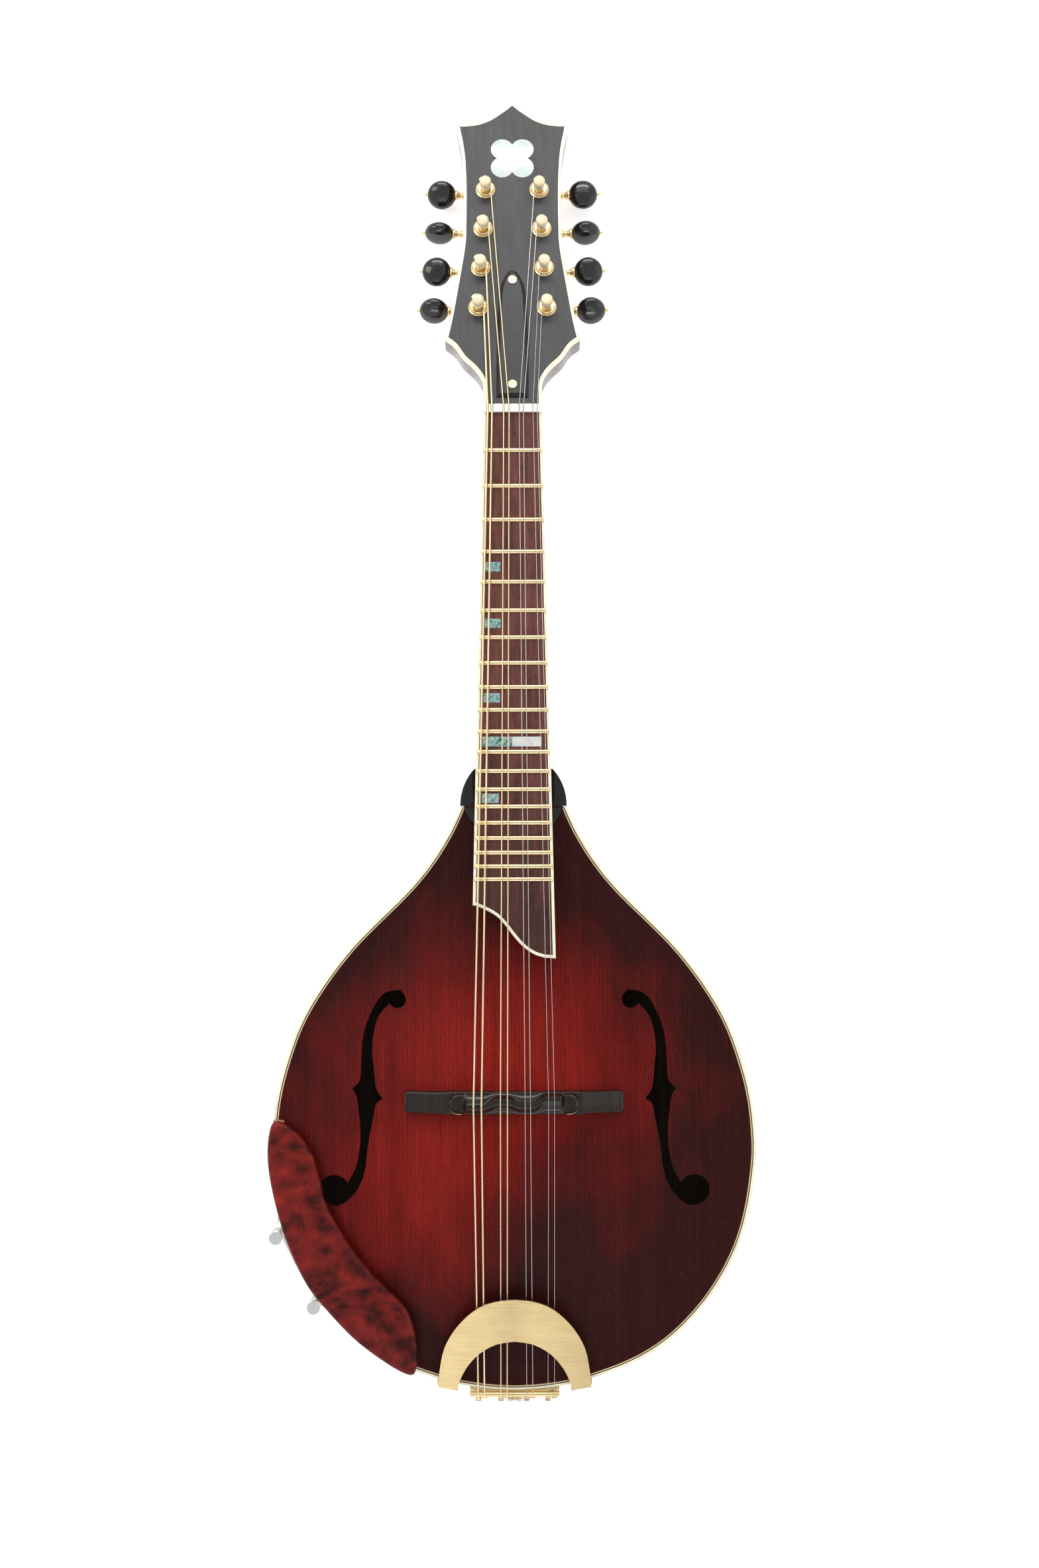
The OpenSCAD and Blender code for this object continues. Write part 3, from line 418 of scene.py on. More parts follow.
def boolean(ob, other, operation, crossed=False):
    """Applies a boolean and uses up the other object; crossed allows self-crossing shapes."""
    modifier = ob.modifiers.new("b", "BOOLEAN")
    modifier.operation = operation
    modifier.object = other
    modifier.solver = "EXACT"
    modifier.use_self = crossed
    bpy.context.view_layer.update()
    evaluated = ob.evaluated_get(bpy.context.evaluated_depsgraph_get())
    mesh = bpy.data.meshes.new_from_object(evaluated)
    ob.modifiers.clear()
    old = ob.data
    ob.data = mesh
    bpy.data.meshes.remove(old)
    bpy.data.objects.remove(other)


def box(name, low, high, frame):
    verts = [(x, y, z) for z in (low[2], high[2]) for y in (low[1], high[1])
             for x in (low[0], high[0])]
    faces = [(0, 2, 3, 1), (4, 5, 7, 6), (0, 1, 5, 4), (2, 6, 7, 3), (0, 4, 6, 2), (1, 3, 7, 5)]
    return make(name, verts, faces, MAT["neck"], frame, body=None)


# ------------------------------------------------------------------ material builder
class Mat:
    """Material with a Principled shader, textured in object coordinates (metres)."""

    def __init__(self, name):
        self.material = bpy.data.materials.new(name)
        self.material.use_nodes = True
        self.tree = self.material.node_tree
        self.shader = self.tree.nodes["Principled BSDF"]
        self.new_coords()

    def new_coords(self):
        self.coords = self.tree.nodes.new("ShaderNodeTexCoord").outputs["Object"]

    def put(self, socket, value):
        if isinstance(value, bpy.types.NodeSocket):
            self.tree.links.new(value, socket)
        else:
            socket.default_value = value

    def add(self, kind, inputs, **settings):
        node = self.tree.nodes.new("ShaderNode" + kind)
        for key, value in settings.items():
            setattr(node, key, value)
        for key, value in inputs.items():
            self.put(node.inputs[key], value)
        return node

    def shade(self, **inputs):
        for key, value in inputs.items():
            self.put(self.shader.inputs[key.replace("_", " ")], value)
        return self

    def mapped(self, stretch, turn):
        inputs = {"Vector": self.coords, "Scale": stretch, "Rotation": (0, 0, turn)}
        return self.add("Mapping", inputs).outputs[0]

    def noise(self, *stretch, detail=3, rough=0.5, warp=0.0, turn=0):
        return self.add("TexNoise", {
            "Vector": self.mapped(stretch, turn), "Scale": 1.0, "Detail": detail,
            "Roughness": rough, "Distortion": warp}).outputs[0]

    def voronoi(self, *stretch, feature="F1", turn=0):
        return self.add("TexVoronoi", {"Vector": self.mapped(stretch, turn), "Scale": 1.0},
                        feature=feature).outputs["Distance"]

    def wave(self, scale, warp, detail, detail_scale, stretch=(1, 1, 1), turn=0, along="X"):
        return self.add("TexWave", {
            "Vector": self.mapped(stretch, turn), "Scale": scale, "Distortion": warp,
            "Detail": detail, "Detail Scale": detail_scale}, bands_direction=along).outputs["Fac"]

    def ramp(self, value, *stops):
        """Stops are (position, colour or grey level)."""
        node = self.add("ValToRGB", {0: value})
        elements = node.color_ramp.elements
        while len(elements) < len(stops):
            elements.new(0.5)
        for element, (position, colour) in zip(elements, stops):
            element.position = position
            element.color = (*(colour if isinstance(colour, tuple) else (colour,) * 3), 1)
        return node.outputs[0]

    def tones(self, value, low, high, start=0.3, end=0.7):
        return self.ramp(value, (start, low), (end, high))

    def remap(self, value, low, high, start=0.3, end=0.7):
        """Takes start..end to low..high."""
        return self.add("MapRange", {0: value, 1: start, 2: end, 3: low, 4: high}).outputs[0]

    def mix(self, amount, a, b, mode="MIX"):
        a, b = ((*c, 1) if isinstance(c, tuple) else c for c in (a, b))
        node = self.add("Mix", {}, data_type="RGBA", blend_type=mode)
        for key, value in ((0, amount), (6, a), (7, b)):
            self.put(node.inputs[key], value)
        return node.outputs[2]

    def darken(self, amount, colour, layer):
        return self.mix(amount, colour, layer, "MULTIPLY")

    def math(self, operation, a, b=0.0):
        return self.add("Math", {0: a, 1: b}, operation=operation).outputs[0]

    def plus(self, a, b):
        return self.math("ADD", a, b)

    def times(self, a, b):
        return self.math("MULTIPLY", a, b)

    def axis(self, index):
        return self.add("SeparateXYZ", {0: self.coords}).outputs[index]

    def bump(self, height, strength, distance, normal=None):
        inputs = {"Strength": strength, "Distance": distance, "Height": height}
        if normal is not None:
            inputs["Normal"] = normal
        return self.add("Bump", inputs).outputs[0]


def scaled(colour, *factors):
    return tuple(c * f for c, f in zip(colour, factors * (3 // len(factors))))


# ------------------------------------------------------------------ materials
def spruce_burst():
    """Red spruce that darkens towards the rim, the head and the tail, with painted light: lighter
    on the bass side and painted shade on the treble side towards the tail.
    """
    mat = Mat("spruce_burst")
    edge = mat.add("Attribute", {}, attribute_name="edge").outputs["Fac"]
    x, y = mat.axis(0), mat.axis(1)
    shade = mat.plus(edge, mat.remap(mat.noise(26, 17, 26, rough=0.55, warp=0.4), -0.16, 0.16))
    # painted light: lighter towards the bass side and painted shade towards the treble side, as
    # lit from the left
    shade = mat.plus(shade, mat.remap(x, -0.07, 0.03, start=-0.12, end=0.12))
    shade = mat.plus(shade, mat.remap(y, 0.0, 0.36, start=0.215, end=0.31))
    # painted shade on the treble side, from the bridge to the tail
    shade = mat.plus(shade, mat.times(mat.remap(x, 0.0, 0.30, start=-0.025, end=0.010),
                                      mat.remap(y, 0.0, 1.0, start=0.170, end=0.135)))
    # darker patch on the tail side of the bridge
    off_centre = mat.math("ABSOLUTE", mat.math("SUBTRACT", x, 0.022))
    patch = mat.remap(off_centre, 0.0, 0.26, start=0.045, end=0.010)
    patch = mat.times(patch, mat.times(mat.remap(y, 0.0, 1.0, start=0.158, end=0.135),
                                       mat.remap(y, 0.0, 1.0, start=0.065, end=0.095)))
    shade = mat.plus(shade, patch)
    shade = mat.plus(shade, mat.remap(y, 0.0, 0.30, start=0.08, end=0.02))
    colour = mat.ramp(
        shade, (0.0, (0.33, 0.0155, 0.0095)), (0.30, (0.25, 0.0125, 0.0080)),
        (0.56, (0.158, 0.0082, 0.0062)), (0.76, (0.098, 0.0070, 0.0058)),
        (0.93, (0.052, 0.0068, 0.0058)), (1.0, (0.036, 0.0066, 0.0058)))
    # straight grain along the top
    lines = mat.wave(scale=236, warp=2.4, detail=2.0, detail_scale=9.0, stretch=(1, 0.035, 1))
    grain = mat.ramp(lines, (0.0, 0.42), (0.45, 0.90), (1.0, 1.14))
    fine = mat.noise(1500, 26, 300, rough=0.6)
    streak = mat.noise(160, 3.5, 60, detail=2)
    colour = mat.darken(0.75, colour, grain)
    colour = mat.darken(0.55, colour, mat.tones(fine, 0.72, 1.25))
    colour = mat.darken(0.45, colour, mat.tones(streak, 0.7, 1.3))
    dust = mat.noise(1300, 1300, 1300, detail=1, rough=0.4)
    colour = mat.mix(mat.tones(dust, 0.0, 0.4, start=0.775, end=0.81), colour, (0.30, 0.20, 0.17))
    height = mat.plus(mat.times(grain, 0.5), fine)
    return mat.shade(Base_Color=colour, Roughness=mat.remap(mat.noise(300, 40, 300), 0.30, 0.42),
                     Normal=mat.bump(height, strength=0.10, distance=0.00008),
                     Specular_IOR_Level=0.09)


def maple(name, dark, middle, light):
    """Maple with curl across its grain."""
    mat = Mat(name)
    curl = mat.noise(25, 165, 60, detail=2, warp=0.8)
    small_curl = mat.noise(120, 380, 160, warp=0.5)
    grain = mat.noise(900, 18, 900, rough=0.6)
    figure = mat.plus(mat.times(curl, 0.7), mat.times(small_curl, 0.3))
    colour = mat.ramp(figure, (0.36, dark), (0.5, middle), (0.64, light))
    colour = mat.darken(0.4, colour, mat.tones(grain, 0.65, 1.25))
    return mat.shade(Base_Color=colour, Roughness=mat.remap(grain, 0.24, 0.36),
                     Normal=mat.bump(grain, strength=0.06, distance=0.00005),
                     Coat_Weight=0.5, Coat_Roughness=0.12)


def bare_wood(name, dark, light):
    mat = Mat(name)
    grain = mat.noise(420, 20, 420, detail=4, rough=0.6)
    return mat.shade(Base_Color=mat.tones(grain, dark, light), Roughness=0.75,
                     Normal=mat.bump(grain, strength=0.3, distance=0.0002))


def ebony(name, dark, light, rough, across, along, turn=0, specular=0.5):
    """Near-black wood; across and along are how tight its grain is each way."""
    mat = Mat(name)
    grain = mat.noise(across, along, across * 0.4, detail=4, rough=0.62, turn=turn)
    streak = mat.noise(across * 0.15, along * 0.6, across * 0.15, detail=2, turn=turn)
    figure = mat.plus(mat.times(grain, 0.65), mat.times(streak, 0.35))
    pore = mat.noise(across * 2.4, along * 6, across * 2.4, detail=2, turn=turn)
    normal = mat.bump(grain, strength=0.06, distance=0.00005)
    pits = mat.tones(pore, 0.0, 1.0, end=0.42)
    return mat.shade(Base_Color=mat.tones(figure, dark, light, start=0.34, end=0.68),
                     Roughness=mat.remap(grain, rough - 0.06, rough + 0.08),
                     Normal=mat.bump(pits, strength=0.10, distance=0.00006, normal=normal),
                     Specular_IOR_Level=specular)


def rosewood():
    """Fingerboard wood, darker towards the body."""
    mat = Mat("rosewood_board")
    grain = mat.noise(330, 10, 330, detail=4, rough=0.6, warp=0.3)
    pore = mat.noise(2600, 150, 2600, detail=2, rough=0.55)
    colour = mat.ramp(grain, (0.3, (0.066, 0.020, 0.015)), (0.5, (0.118, 0.036, 0.027)),
                      (0.7, (0.180, 0.060, 0.045)))
    colour = mat.darken(0.8, colour, mat.ramp(pore, (0.30, 0.35), (0.44, 1.0), (0.7, 1.18)))
    body_end = mat.remap(mat.axis(1), 0.0, 1.0, start=0.24, end=0.36)
    colour = mat.darken(1.0, colour, mat.tones(body_end, 0.45, 1.0, start=0.0, end=1.0))
    pits = mat.tones(pore, 0.0, 1.0, end=0.45)
    return mat.shade(Base_Color=colour, Roughness=mat.remap(grain, 0.42, 0.55),
                     Normal=mat.bump(pits, strength=0.25, distance=0.0001),
                     Specular_IOR_Level=0.3)


def cream(name, base):
    mat = Mat(name)
    cloud = mat.noise(160, 160, 160)
    fibre = mat.noise(900, 60, 900, detail=2)
    light = tuple(min(1, c * 1.06) for c in base)
    colour = mat.darken(0.15, mat.tones(cloud, scaled(base, 0.9), light),
                        mat.tones(fibre, 0.8, 1.1))
    return mat.shade(Base_Color=colour, Roughness=mat.remap(cloud, 0.24, 0.36), Coat_Weight=0.25,
                     Normal=mat.bump(fibre, strength=0.05, distance=0.00005),
                     Subsurface_Weight=0.08, Subsurface_Radius=(0.002, 0.0012, 0.0006))


def black(name, base, rough):
    mat = Mat(name)
    cloud = mat.noise(70, 30, 70)
    scuff = mat.noise(2200, 300, 2200, detail=2)
    grey = (base,) * 3
    colour = mat.tones(cloud, scaled(grey, 0.8), scaled(grey, 1.5, 1.45, 1.5))
    return mat.shade(Base_Color=colour, Roughness=mat.remap(scuff, rough - 0.04, rough + 0.10),
                     Normal=mat.bump(cloud, strength=0.05, distance=0.0003),
                     Specular_IOR_Level=0.42)


def metal(name, base, rough, brush, tarnish=(0.6, 0.45, 0.3), amount=0.25, bump=0.04):
    """Metal with cloudy tarnish; brush is how tight its scratches are along x, y and z."""
    mat = Mat(name)
    cloud = mat.noise(90, 90, 90, detail=4, rough=0.6)
    scratch = mat.noise(*brush, rough=0.6)
    colour = mat.mix(mat.tones(cloud, 0.0, amount, start=0.42, end=0.75), base,
                     scaled(base, *tarnish))
    roughness = mat.plus(mat.remap(scratch, rough - 0.05, rough + 0.07),
                         mat.remap(cloud, -0.03, 0.05))
    return mat.shade(Base_Color=colour, Metallic=1.0, Roughness=roughness,
                     Normal=mat.bump(scratch, strength=bump, distance=0.00004))


def satin_brass():
    """Brushed plate with painted sheen: lighter on the bass side and darker towards the treble
    side.
    """
    mat = metal("satin_brass", (0.92, 0.71, 0.37), rough=0.33, brush=(30, 420, 200),
                tarnish=(0.72, 0.66, 0.6), amount=0.35, bump=0.06)
    colour = mat.shader.inputs["Base Color"].links[0].from_socket
    mat.new_coords()
    # painted sheen: bright on the bass side, a dim band near the middle, then darker towards the
    # treble side
    across = mat.remap(mat.axis(0), 0.0, 1.0, start=-0.042, end=0.042)
    painted_sheen = mat.ramp(across, (0.0, 1.0), (0.35, 0.90), (0.5, 0.80), (0.62, 0.92), (1.0, 0.74))
    fine = mat.tones(mat.noise(60, 2400, 900, detail=2), 0.84, 1.0)
    return mat.shade(Base_Color=mat.darken(1.0, mat.darken(1.0, colour, painted_sheen), fine))


def bone():
    mat = Mat("bone_nut")
    grain = mat.noise(500, 60, 500, detail=4)
    return mat.shade(Base_Color=mat.tones(grain, (0.95, 0.92, 0.82), (1.0, 0.985, 0.92)),
                     Roughness=0.28, Coat_Weight=0.3,
                     Normal=mat.bump(grain, strength=0.08, distance=0.00006),
                     Subsurface_Weight=0.12, Subsurface_Radius=(0.002, 0.0014, 0.0008))


def pearl():
    mat = Mat("white_pearl")
    cloud = mat.noise(70, 120, 70, warp=1.2)
    bands = mat.wave(scale=60, warp=7.0, detail=3.0, detail_scale=3.0, turn=0.7)
    colour = mat.ramp(cloud, (0.28, (0.66, 0.58, 0.57)), (0.42, (0.74, 0.74, 0.71)),
                      (0.55, (0.56, 0.69, 0.70)), (0.7, (0.74, 0.66, 0.60)))
    colour = mat.darken(0.2, colour, mat.tones(bands, 0.86, 1.0, start=0.0, end=1.0))
    return mat.shade(Base_Color=colour, Roughness=0.2, Coat_Weight=0.8, Coat_Roughness=0.05,
                     Normal=mat.bump(bands, strength=0.04, distance=0.00008))


def abalone():
    mat = Mat("abalone")
    cloud = mat.noise(210, 330, 210, rough=0.6, warp=2.2)
    bands = mat.wave(scale=105, warp=9.0, detail=3.0, detail_scale=4.0, turn=0.5)
    figure = mat.plus(mat.times(cloud, 0.7), mat.times(bands, 0.3))
    colour = mat.ramp(
        figure, (0.25, (0.03, 0.05, 0.06)), (0.36, (0.05, 0.28, 0.22)),
        (0.45, (0.22, 0.62, 0.46)), (0.53, (0.75, 0.85, 0.72)), (0.60, (0.10, 0.30, 0.55)),
        (0.68, (0.55, 0.30, 0.42)), (0.78, (0.12, 0.40, 0.35)))
    return mat.shade(Base_Color=colour, Roughness=0.16, Metallic=0.35, Coat_Weight=0.8,
                     Coat_Roughness=0.04,
                     Normal=mat.bump(bands, strength=0.05, distance=0.0001))


def red_burl():
    mat = Mat("red_burl")
    cloud = mat.noise(42, 60, 42, detail=4, rough=0.6, warp=1.4, turn=0.5)
    eyes = mat.voronoi(110, 160, 110, feature="SMOOTH_F1", turn=0.5)
    fine = mat.noise(800, 260, 800, detail=4, rough=0.65, warp=1.0, turn=0.6)
    figure = mat.plus(mat.times(cloud, 0.62), mat.times(eyes, 0.26))
    figure = mat.plus(figure, mat.times(fine, 0.12))
    colour = mat.ramp(
        figure, (0.32, (0.016, 0.0030, 0.0030)), (0.41, (0.055, 0.0052, 0.0048)),
        (0.49, (0.125, 0.0095, 0.0075)), (0.58, (0.20, 0.0135, 0.0095)),
        (0.72, (0.31, 0.025, 0.015)))
    return mat.shade(Base_Color=colour, Roughness=mat.remap(fine, 0.22, 0.34),
                     Coat_Weight=0.10, Coat_Roughness=0.10, Specular_IOR_Level=0.12,
                     Normal=mat.bump(fine, strength=0.05, distance=0.00005))


def cork():
    mat = Mat("cork_pad")
    cells = mat.voronoi(700, 700, 700)
    light = mat.tones(mat.noise(400, 400, 400), (0.42, 0.25, 0.12), (0.60, 0.40, 0.22))
    return mat.shade(Base_Color=mat.mix(cells, (0.20, 0.10, 0.05), light), Roughness=0.9,
                     Normal=mat.bump(cells, strength=0.6, distance=0.0002))


def wound_string(name, base, pitch=0.00032):
    """Bronze wrap along y, with painted shade between its turns; pitch is the distance from turn
    to turn.
    """
    mat = Mat(name)
    wrap = mat.wave(scale=2 * pi / 20 / pitch, warp=0.0, detail=0.0, detail_scale=1.0, along="Y")
    cloud = mat.noise(150, 30, 150)
    colour = mat.mix(mat.tones(cloud, 0.0, 0.35, start=0.4, end=0.75), base,
                     scaled(base, 0.7, 0.6, 0.5))
    # painted shade in the grooves between the turns of the wrap
    colour = mat.darken(0.5, colour, mat.tones(wrap, 0.5, 1.0, start=0.0, end=0.5))
    return mat.shade(Base_Color=colour, Metallic=1.0, Roughness=0.3,
                     Normal=mat.bump(wrap, strength=0.5, distance=0.00006))


MAT = {key: mat.material for key, mat in dict(
    top=spruce_burst(),
    back=maple("maple_back", dark=(0.030, 0.0050, 0.0042), middle=(0.085, 0.0085, 0.0065),
               light=(0.150, 0.0135, 0.009)),
    neck=maple("maple_neck", dark=(0.026, 0.0045, 0.004), middle=(0.062, 0.0075, 0.006),
               light=(0.105, 0.011, 0.008)),
    inner=bare_wood("inner_wood", dark=(0.050, 0.030, 0.018), light=(0.095, 0.060, 0.036)),
    spruce=bare_wood("bare_spruce", dark=(0.10, 0.065, 0.035), light=(0.20, 0.14, 0.08)),
    veneer=ebony("ebony_veneer", dark=(0.012, 0.012, 0.0125), light=(0.036, 0.0355, 0.036),
                 rough=0.40, across=420.0, along=22.0),
    ebony=ebony("bridge_ebony", dark=(0.003, 0.0016, 0.0012), light=(0.022, 0.0125, 0.009),
                rough=0.14, across=800.0, along=26.0, turn=pi / 2, specular=0.42),
    button=ebony("button_ebony", dark=(0.003, 0.003, 0.003), light=(0.016, 0.0145, 0.0135),
                 rough=0.13, across=900.0, along=120.0, turn=0.2, specular=0.75),
    rosewood=rosewood(),
    cream=cream("cream_binding", base=(0.95, 0.88, 0.66)),
    tan=cream("tan_line", base=(0.66, 0.50, 0.27)),
    line=black("black_line", base=0.012, rough=0.35),
    black=black("black_gloss", base=0.010, rough=0.16),
    cover=black("cover_black", base=0.008, rough=0.27),
    bone=bone(),
    pearl=pearl(),
    abalone=abalone(),
    gold=metal("gold_plate", (0.93, 0.72, 0.38), rough=0.26, brush=(500, 500, 500)),
    fret=metal("fret_wire", (0.92, 0.75, 0.44), rough=0.24, brush=(60, 900, 900)),
    brass=satin_brass(),
    ivory=cream("ivory_cap", base=(0.84, 0.70, 0.46)),
    nickel=metal("clamp_metal", (0.96, 0.95, 0.93), rough=0.16, brush=(500, 500, 500)),
    steel=metal("rod_steel", (0.55, 0.55, 0.56), rough=0.32, brush=(500, 500, 500)),
    bronze=wound_string("bronze_wound", (1.0, 0.82, 0.52)),
    bronze_turns=metal("bronze_turns", (0.98, 0.82, 0.56), rough=0.3, brush=(900, 900, 900)),
    plain=metal("plain_steel", (0.66, 0.60, 0.58), rough=0.22, brush=(900, 60, 900)),
    burl=red_burl(),
    cork=cork(),
).items()}

# ------------------------------------------------------------------ body outline
# (x, y) up the treble half, from the tail to the neck joint
BODY_HALF = [
    (0, 0), (26, 2.4), (48.1, 8.8), (63.5, 15.1), (74.6, 21.7), (83.8, 28.8), (97, 42.7),
    (106.7, 56.6), (114.1, 70.6), (119, 84.4), (122.1, 98.2), (123.9, 112), (125, 124.2),
    (123.3, 146.6), (120.5, 160.6), (116.4, 174.1), (111.5, 187.8), (104.1, 201.5), (95.1, 215),
    (84.1, 228.9), (77.6, 235.7), (70.6, 242.6), (63.5, 249.4), (56.4, 256.3), (50.2, 263.1),
    (44.9, 269.8), (40.2, 276.4), (36.1, 283.2), (32.2, 289.9), (29.2, 296.6), (27.5, 301)]
half = curve(BODY_HALF, 2.2, before=(-26, 2.6))
for _ in range(14):     # fair the outline
    half[1:-1] = half[1:-1] * 0.5 + (half[2:] + half[:-2]) * 0.25
half[0][1] = 0.0
# bass shoulder, tail, treble shoulder: the inside is on the left
rim = np.concatenate([mirror(half[1:]), half])
rim_normals = normals(rim)
inward = rim_normals.copy()
inward[0], inward[-1] = (1, 0), (-1, 0)     # square to the centre line at the joint
PLATE_INSET = 2.6       # the carved plates stop inside the binding
plate_edge = rim + inward * PLATE_INSET

# ------------------------------------------------------------------ dome of the carved plates
GRID = 2.5
GRID_X, GRID_Y = -125, -2.5     # first column and row


def solve_dome(outline):
    """Smooth dome on a grid: 0 on the outline, 1 at the top.

    Relaxes a uniformly loaded membrane. Returns the grid points, the dome and the depth of
    each point inside the outline.
    """
    xs = np.arange(GRID_X, 125.01, GRID)
    ys = np.arange(GRID_Y, 305.01, GRID)
    points = np.stack(np.meshgrid(xs, ys), -1)
    flat = points.reshape(-1, 2)
    within = inside(outline, flat)
    depth = (np.where(within, 1, -1) * distance(outline, flat)).reshape(points.shape[:2])
    within = within.reshape(depth.shape)

    def around(values):
        return [np.roll(values, step, axis) for axis, step in ((0, 1), (0, -1), (1, 1), (1, -1))]

    dome = np.where(within, depth * 30, 0.0)
    weight = 4.0 + sum(
        np.where(near_in, 0.0, np.clip(-near_depth / np.maximum(depth, 0.05), 0, 3))
        for near_in, near_depth in zip(around(within), around(depth)))
    checker = (np.add.outer(*map(np.arange, depth.shape)) % 2).astype(bool)
    for _ in range(500):
        for squares in (checker, ~checker):
            total = sum(around(dome))
            update = within & squares
            dome[update] += 1.92 * ((total + GRID * GRID) / weight - dome)[update]
    # carry the slope on to the first points outside, for reading between grid points
    fringe = np.any(around(within), axis=0) & ~within
    count = np.maximum(sum(around(within.astype(float))), 1)
    slope = np.where(within, dome, 0) / np.maximum(depth, 0.6)
    dome[fringe] = (sum(around(slope)) / count * depth)[fringe]
    return points, dome / dome[within].max(), depth


grid_points, dome_grid, grid_depth = solve_dome(plate_edge)


def outwardness(points):
    """0 at the top of the dome, 1 on the edge of the plate."""
    column = (points[:, 0] - GRID_X) / GRID
    row = (points[:, 1] - GRID_Y) / GRID
    rows, columns = dome_grid.shape
    i = np.clip(column.astype(int), 0, columns - 2)
    j = np.clip(row.astype(int), 0, rows - 2)
    u, v = column - i, row - j
    dome = (dome_grid[j, i] * (1 - u) * (1 - v) + dome_grid[j, i + 1] * u * (1 - v)
            + dome_grid[j + 1, i] * (1 - u) * v + dome_grid[j + 1, i + 1] * u * v)
    return np.sqrt(np.clip(1 - dome, 0, 1))


TOP_ARCH, BACK_ARCH = 15.0, 14.0
PLATE_THICK = 3.9
HOLLOW_WIDTH, HOLLOW_DEPTH = 0.075, 0.7     # width as a share of the way to the top


def arch(inwardness, height):
    """Height over the rim: a shallow hollow at the edge, then the rise."""
    rise = np.clip((inwardness - HOLLOW_WIDTH) / (1 - HOLLOW_WIDTH), 0, 1)
    hollow = np.sin(np.pi * np.clip(inwardness, 0, HOLLOW_WIDTH) / HOLLOW_WIDTH)
    return np.where(inwardness < HOLLOW_WIDTH, -HOLLOW_DEPTH * hollow,
                    height * (1 - (1 - rise ** 1.5) ** 2))


def top_z(points):
    return RIM_Z + arch(1 - outwardness(points), TOP_ARCH)


# Treble f-hole, (x, y): outer edge down to the foot, the foot, inner edge up, the head.
# Each edge has a notch where its two curves meet.
F_OUTER = [
    [(57.6, 206.7), (63.8, 206), (67.5, 204), (70.9, 200), (75.8, 189.5), (77.9, 180),
     (78.5, 168), (79.4, 160), (83.2, 156)],
    [(83.2, 156), (80.9, 152), (80, 146), (79, 137), (79.2, 126.5), (81.3, 116), (85.4, 107.6)]]
F_FOOT = [(88, 104.5), (94, 100)]
F_INNER = [
    [(92.3, 95), (88.2, 96.5), (82.8, 101), (78.6, 108), (76.5, 115), (74.6, 129.5),
     (72.2, 141.5), (70.9, 148), (67.3, 151.1)],
    [(67.3, 151.1), (70.6, 156), (71.5, 162.5), (72.7, 174.3), (72.1, 184.5), (69.3, 193.5),
     (64.4, 199.2)]]
F_HEAD = [(60.5, 200.5), (58.4, 203)]
f_treble = [np.concatenate([chain(F_OUTER, 1.2), F_FOOT, chain(F_INNER, 1.2), F_HEAD]),
            circle(4.5, 40, x=59.9, y=201.7),
            circle(8, 56, x=92.5, y=103.5)]
f_bass = [mirror(shape) for shape in f_treble]


def carved_plate(name, height, holes, mat, facing, replaces):
    """Carved plate as one closed mesh; facing is 1 for the top and -1 for the back."""
    loops = [plate_edge, *holes]
    edges, start = [], 0
    for loop in loops:
        edges += [(start + i, start + (i + 1) % len(loop)) for i in range(len(loop))]
        start += len(loop)
    fill = grid_points[grid_depth > 1.3]
    for hole in holes:
        fill = fill[~inside(hole, fill) & (distance(hole, fill) > 1.0)]
    flat, triangles = triangulate(np.concatenate([*loops, fill]), edges, plate_edge, holes)
    outward = outwardness(flat)
    outward[distance(plate_edge, flat) < 1e-3] = 1.0
    outer = RIM_Z + arch(1 - outward, height)
    inner = np.maximum(RIB_Z, outer - PLATE_THICK)
    verts = [(x, y, facing * z) for zs in (outer, inner) for (x, y), z in zip(flat, zs)]
    mesh = mesh_from(name, verts, thick_faces(triangles, len(flat)), BODY)
    edge = mesh.attributes.new("edge", "FLOAT", "POINT")
    edge.data.foreach_set("value", np.concatenate([outward, outward]).astype(np.float32))
    mesh.materials.append(mat)
    mesh.materials.append(MAT["inner"])
    index = np.zeros(len(mesh.polygons), int)
    index[len(triangles):2 * len(triangles)] = 1
    mesh.polygons.foreach_set("material_index", index)
    ob = add_object(name, mesh)
    tidy(mesh, angle=50, merge=False)
    settle(ob, "root", replaces)


carved_plate("carved_top", TOP_ARCH, f_treble + f_bass, MAT["top"], 1, "top_plate")
carved_plate("carved_back", BACK_ARCH, [], MAT["back"], -1, "back_plate")

strip("bent_ribs", rim,
      [(0, -RIB_Z), (0, -9), (0, 0), (0, 9), (0, RIB_Z), (2, RIB_Z), (2, -RIB_Z)], MAT["back"],
      shifts=rim_normals, slot="back_finish", replaces="side_ribs")


def rim_band(name, section, mat, facing, replaces=None):
    strip(name, rim, [(inset, facing * z) for inset, z in section], mat, shifts=rim_normals,
          slot="cream_binding", replaces=replaces)


BINDING, BINDING_ROUND = 1.5, 0.9       # width and rounded outer edge
LINE_Z = RIM_Z - 2.2                    # foot of the purfling lines
binding_section = [(-0.02, RIB_Z)]
binding_section += [(-0.02 + BINDING_ROUND - BINDING_ROUND * cos(a),
                     RIM_Z - BINDING_ROUND + BINDING_ROUND * sin(a))
                    for a in np.linspace(0, pi / 2, 6)]
binding_section += [(BINDING, RIM_Z), (BINDING, RIB_Z)]
dark_section = [(BINDING, LINE_Z), (BINDING, RIM_Z - 0.02), (2.0, RIM_Z - 0.02), (2.0, LINE_Z)]
tan_section = [(2.0, LINE_Z), (2.0, RIM_Z - 0.01), (2.62, RIM_Z - 0.01), (2.62, LINE_Z)]
for face, facing in (("top", 1), ("back", -1)):
    rim_band(f"{face}_binding", binding_section, MAT["cream"], facing,
             replaces="body_binding" if facing == 1 else None)
    rim_band(f"{face}_purfling_dark", dark_section, MAT["line"], facing)
    rim_band(f"{face}_purfling_tan", tan_section, MAT["tan"], facing)


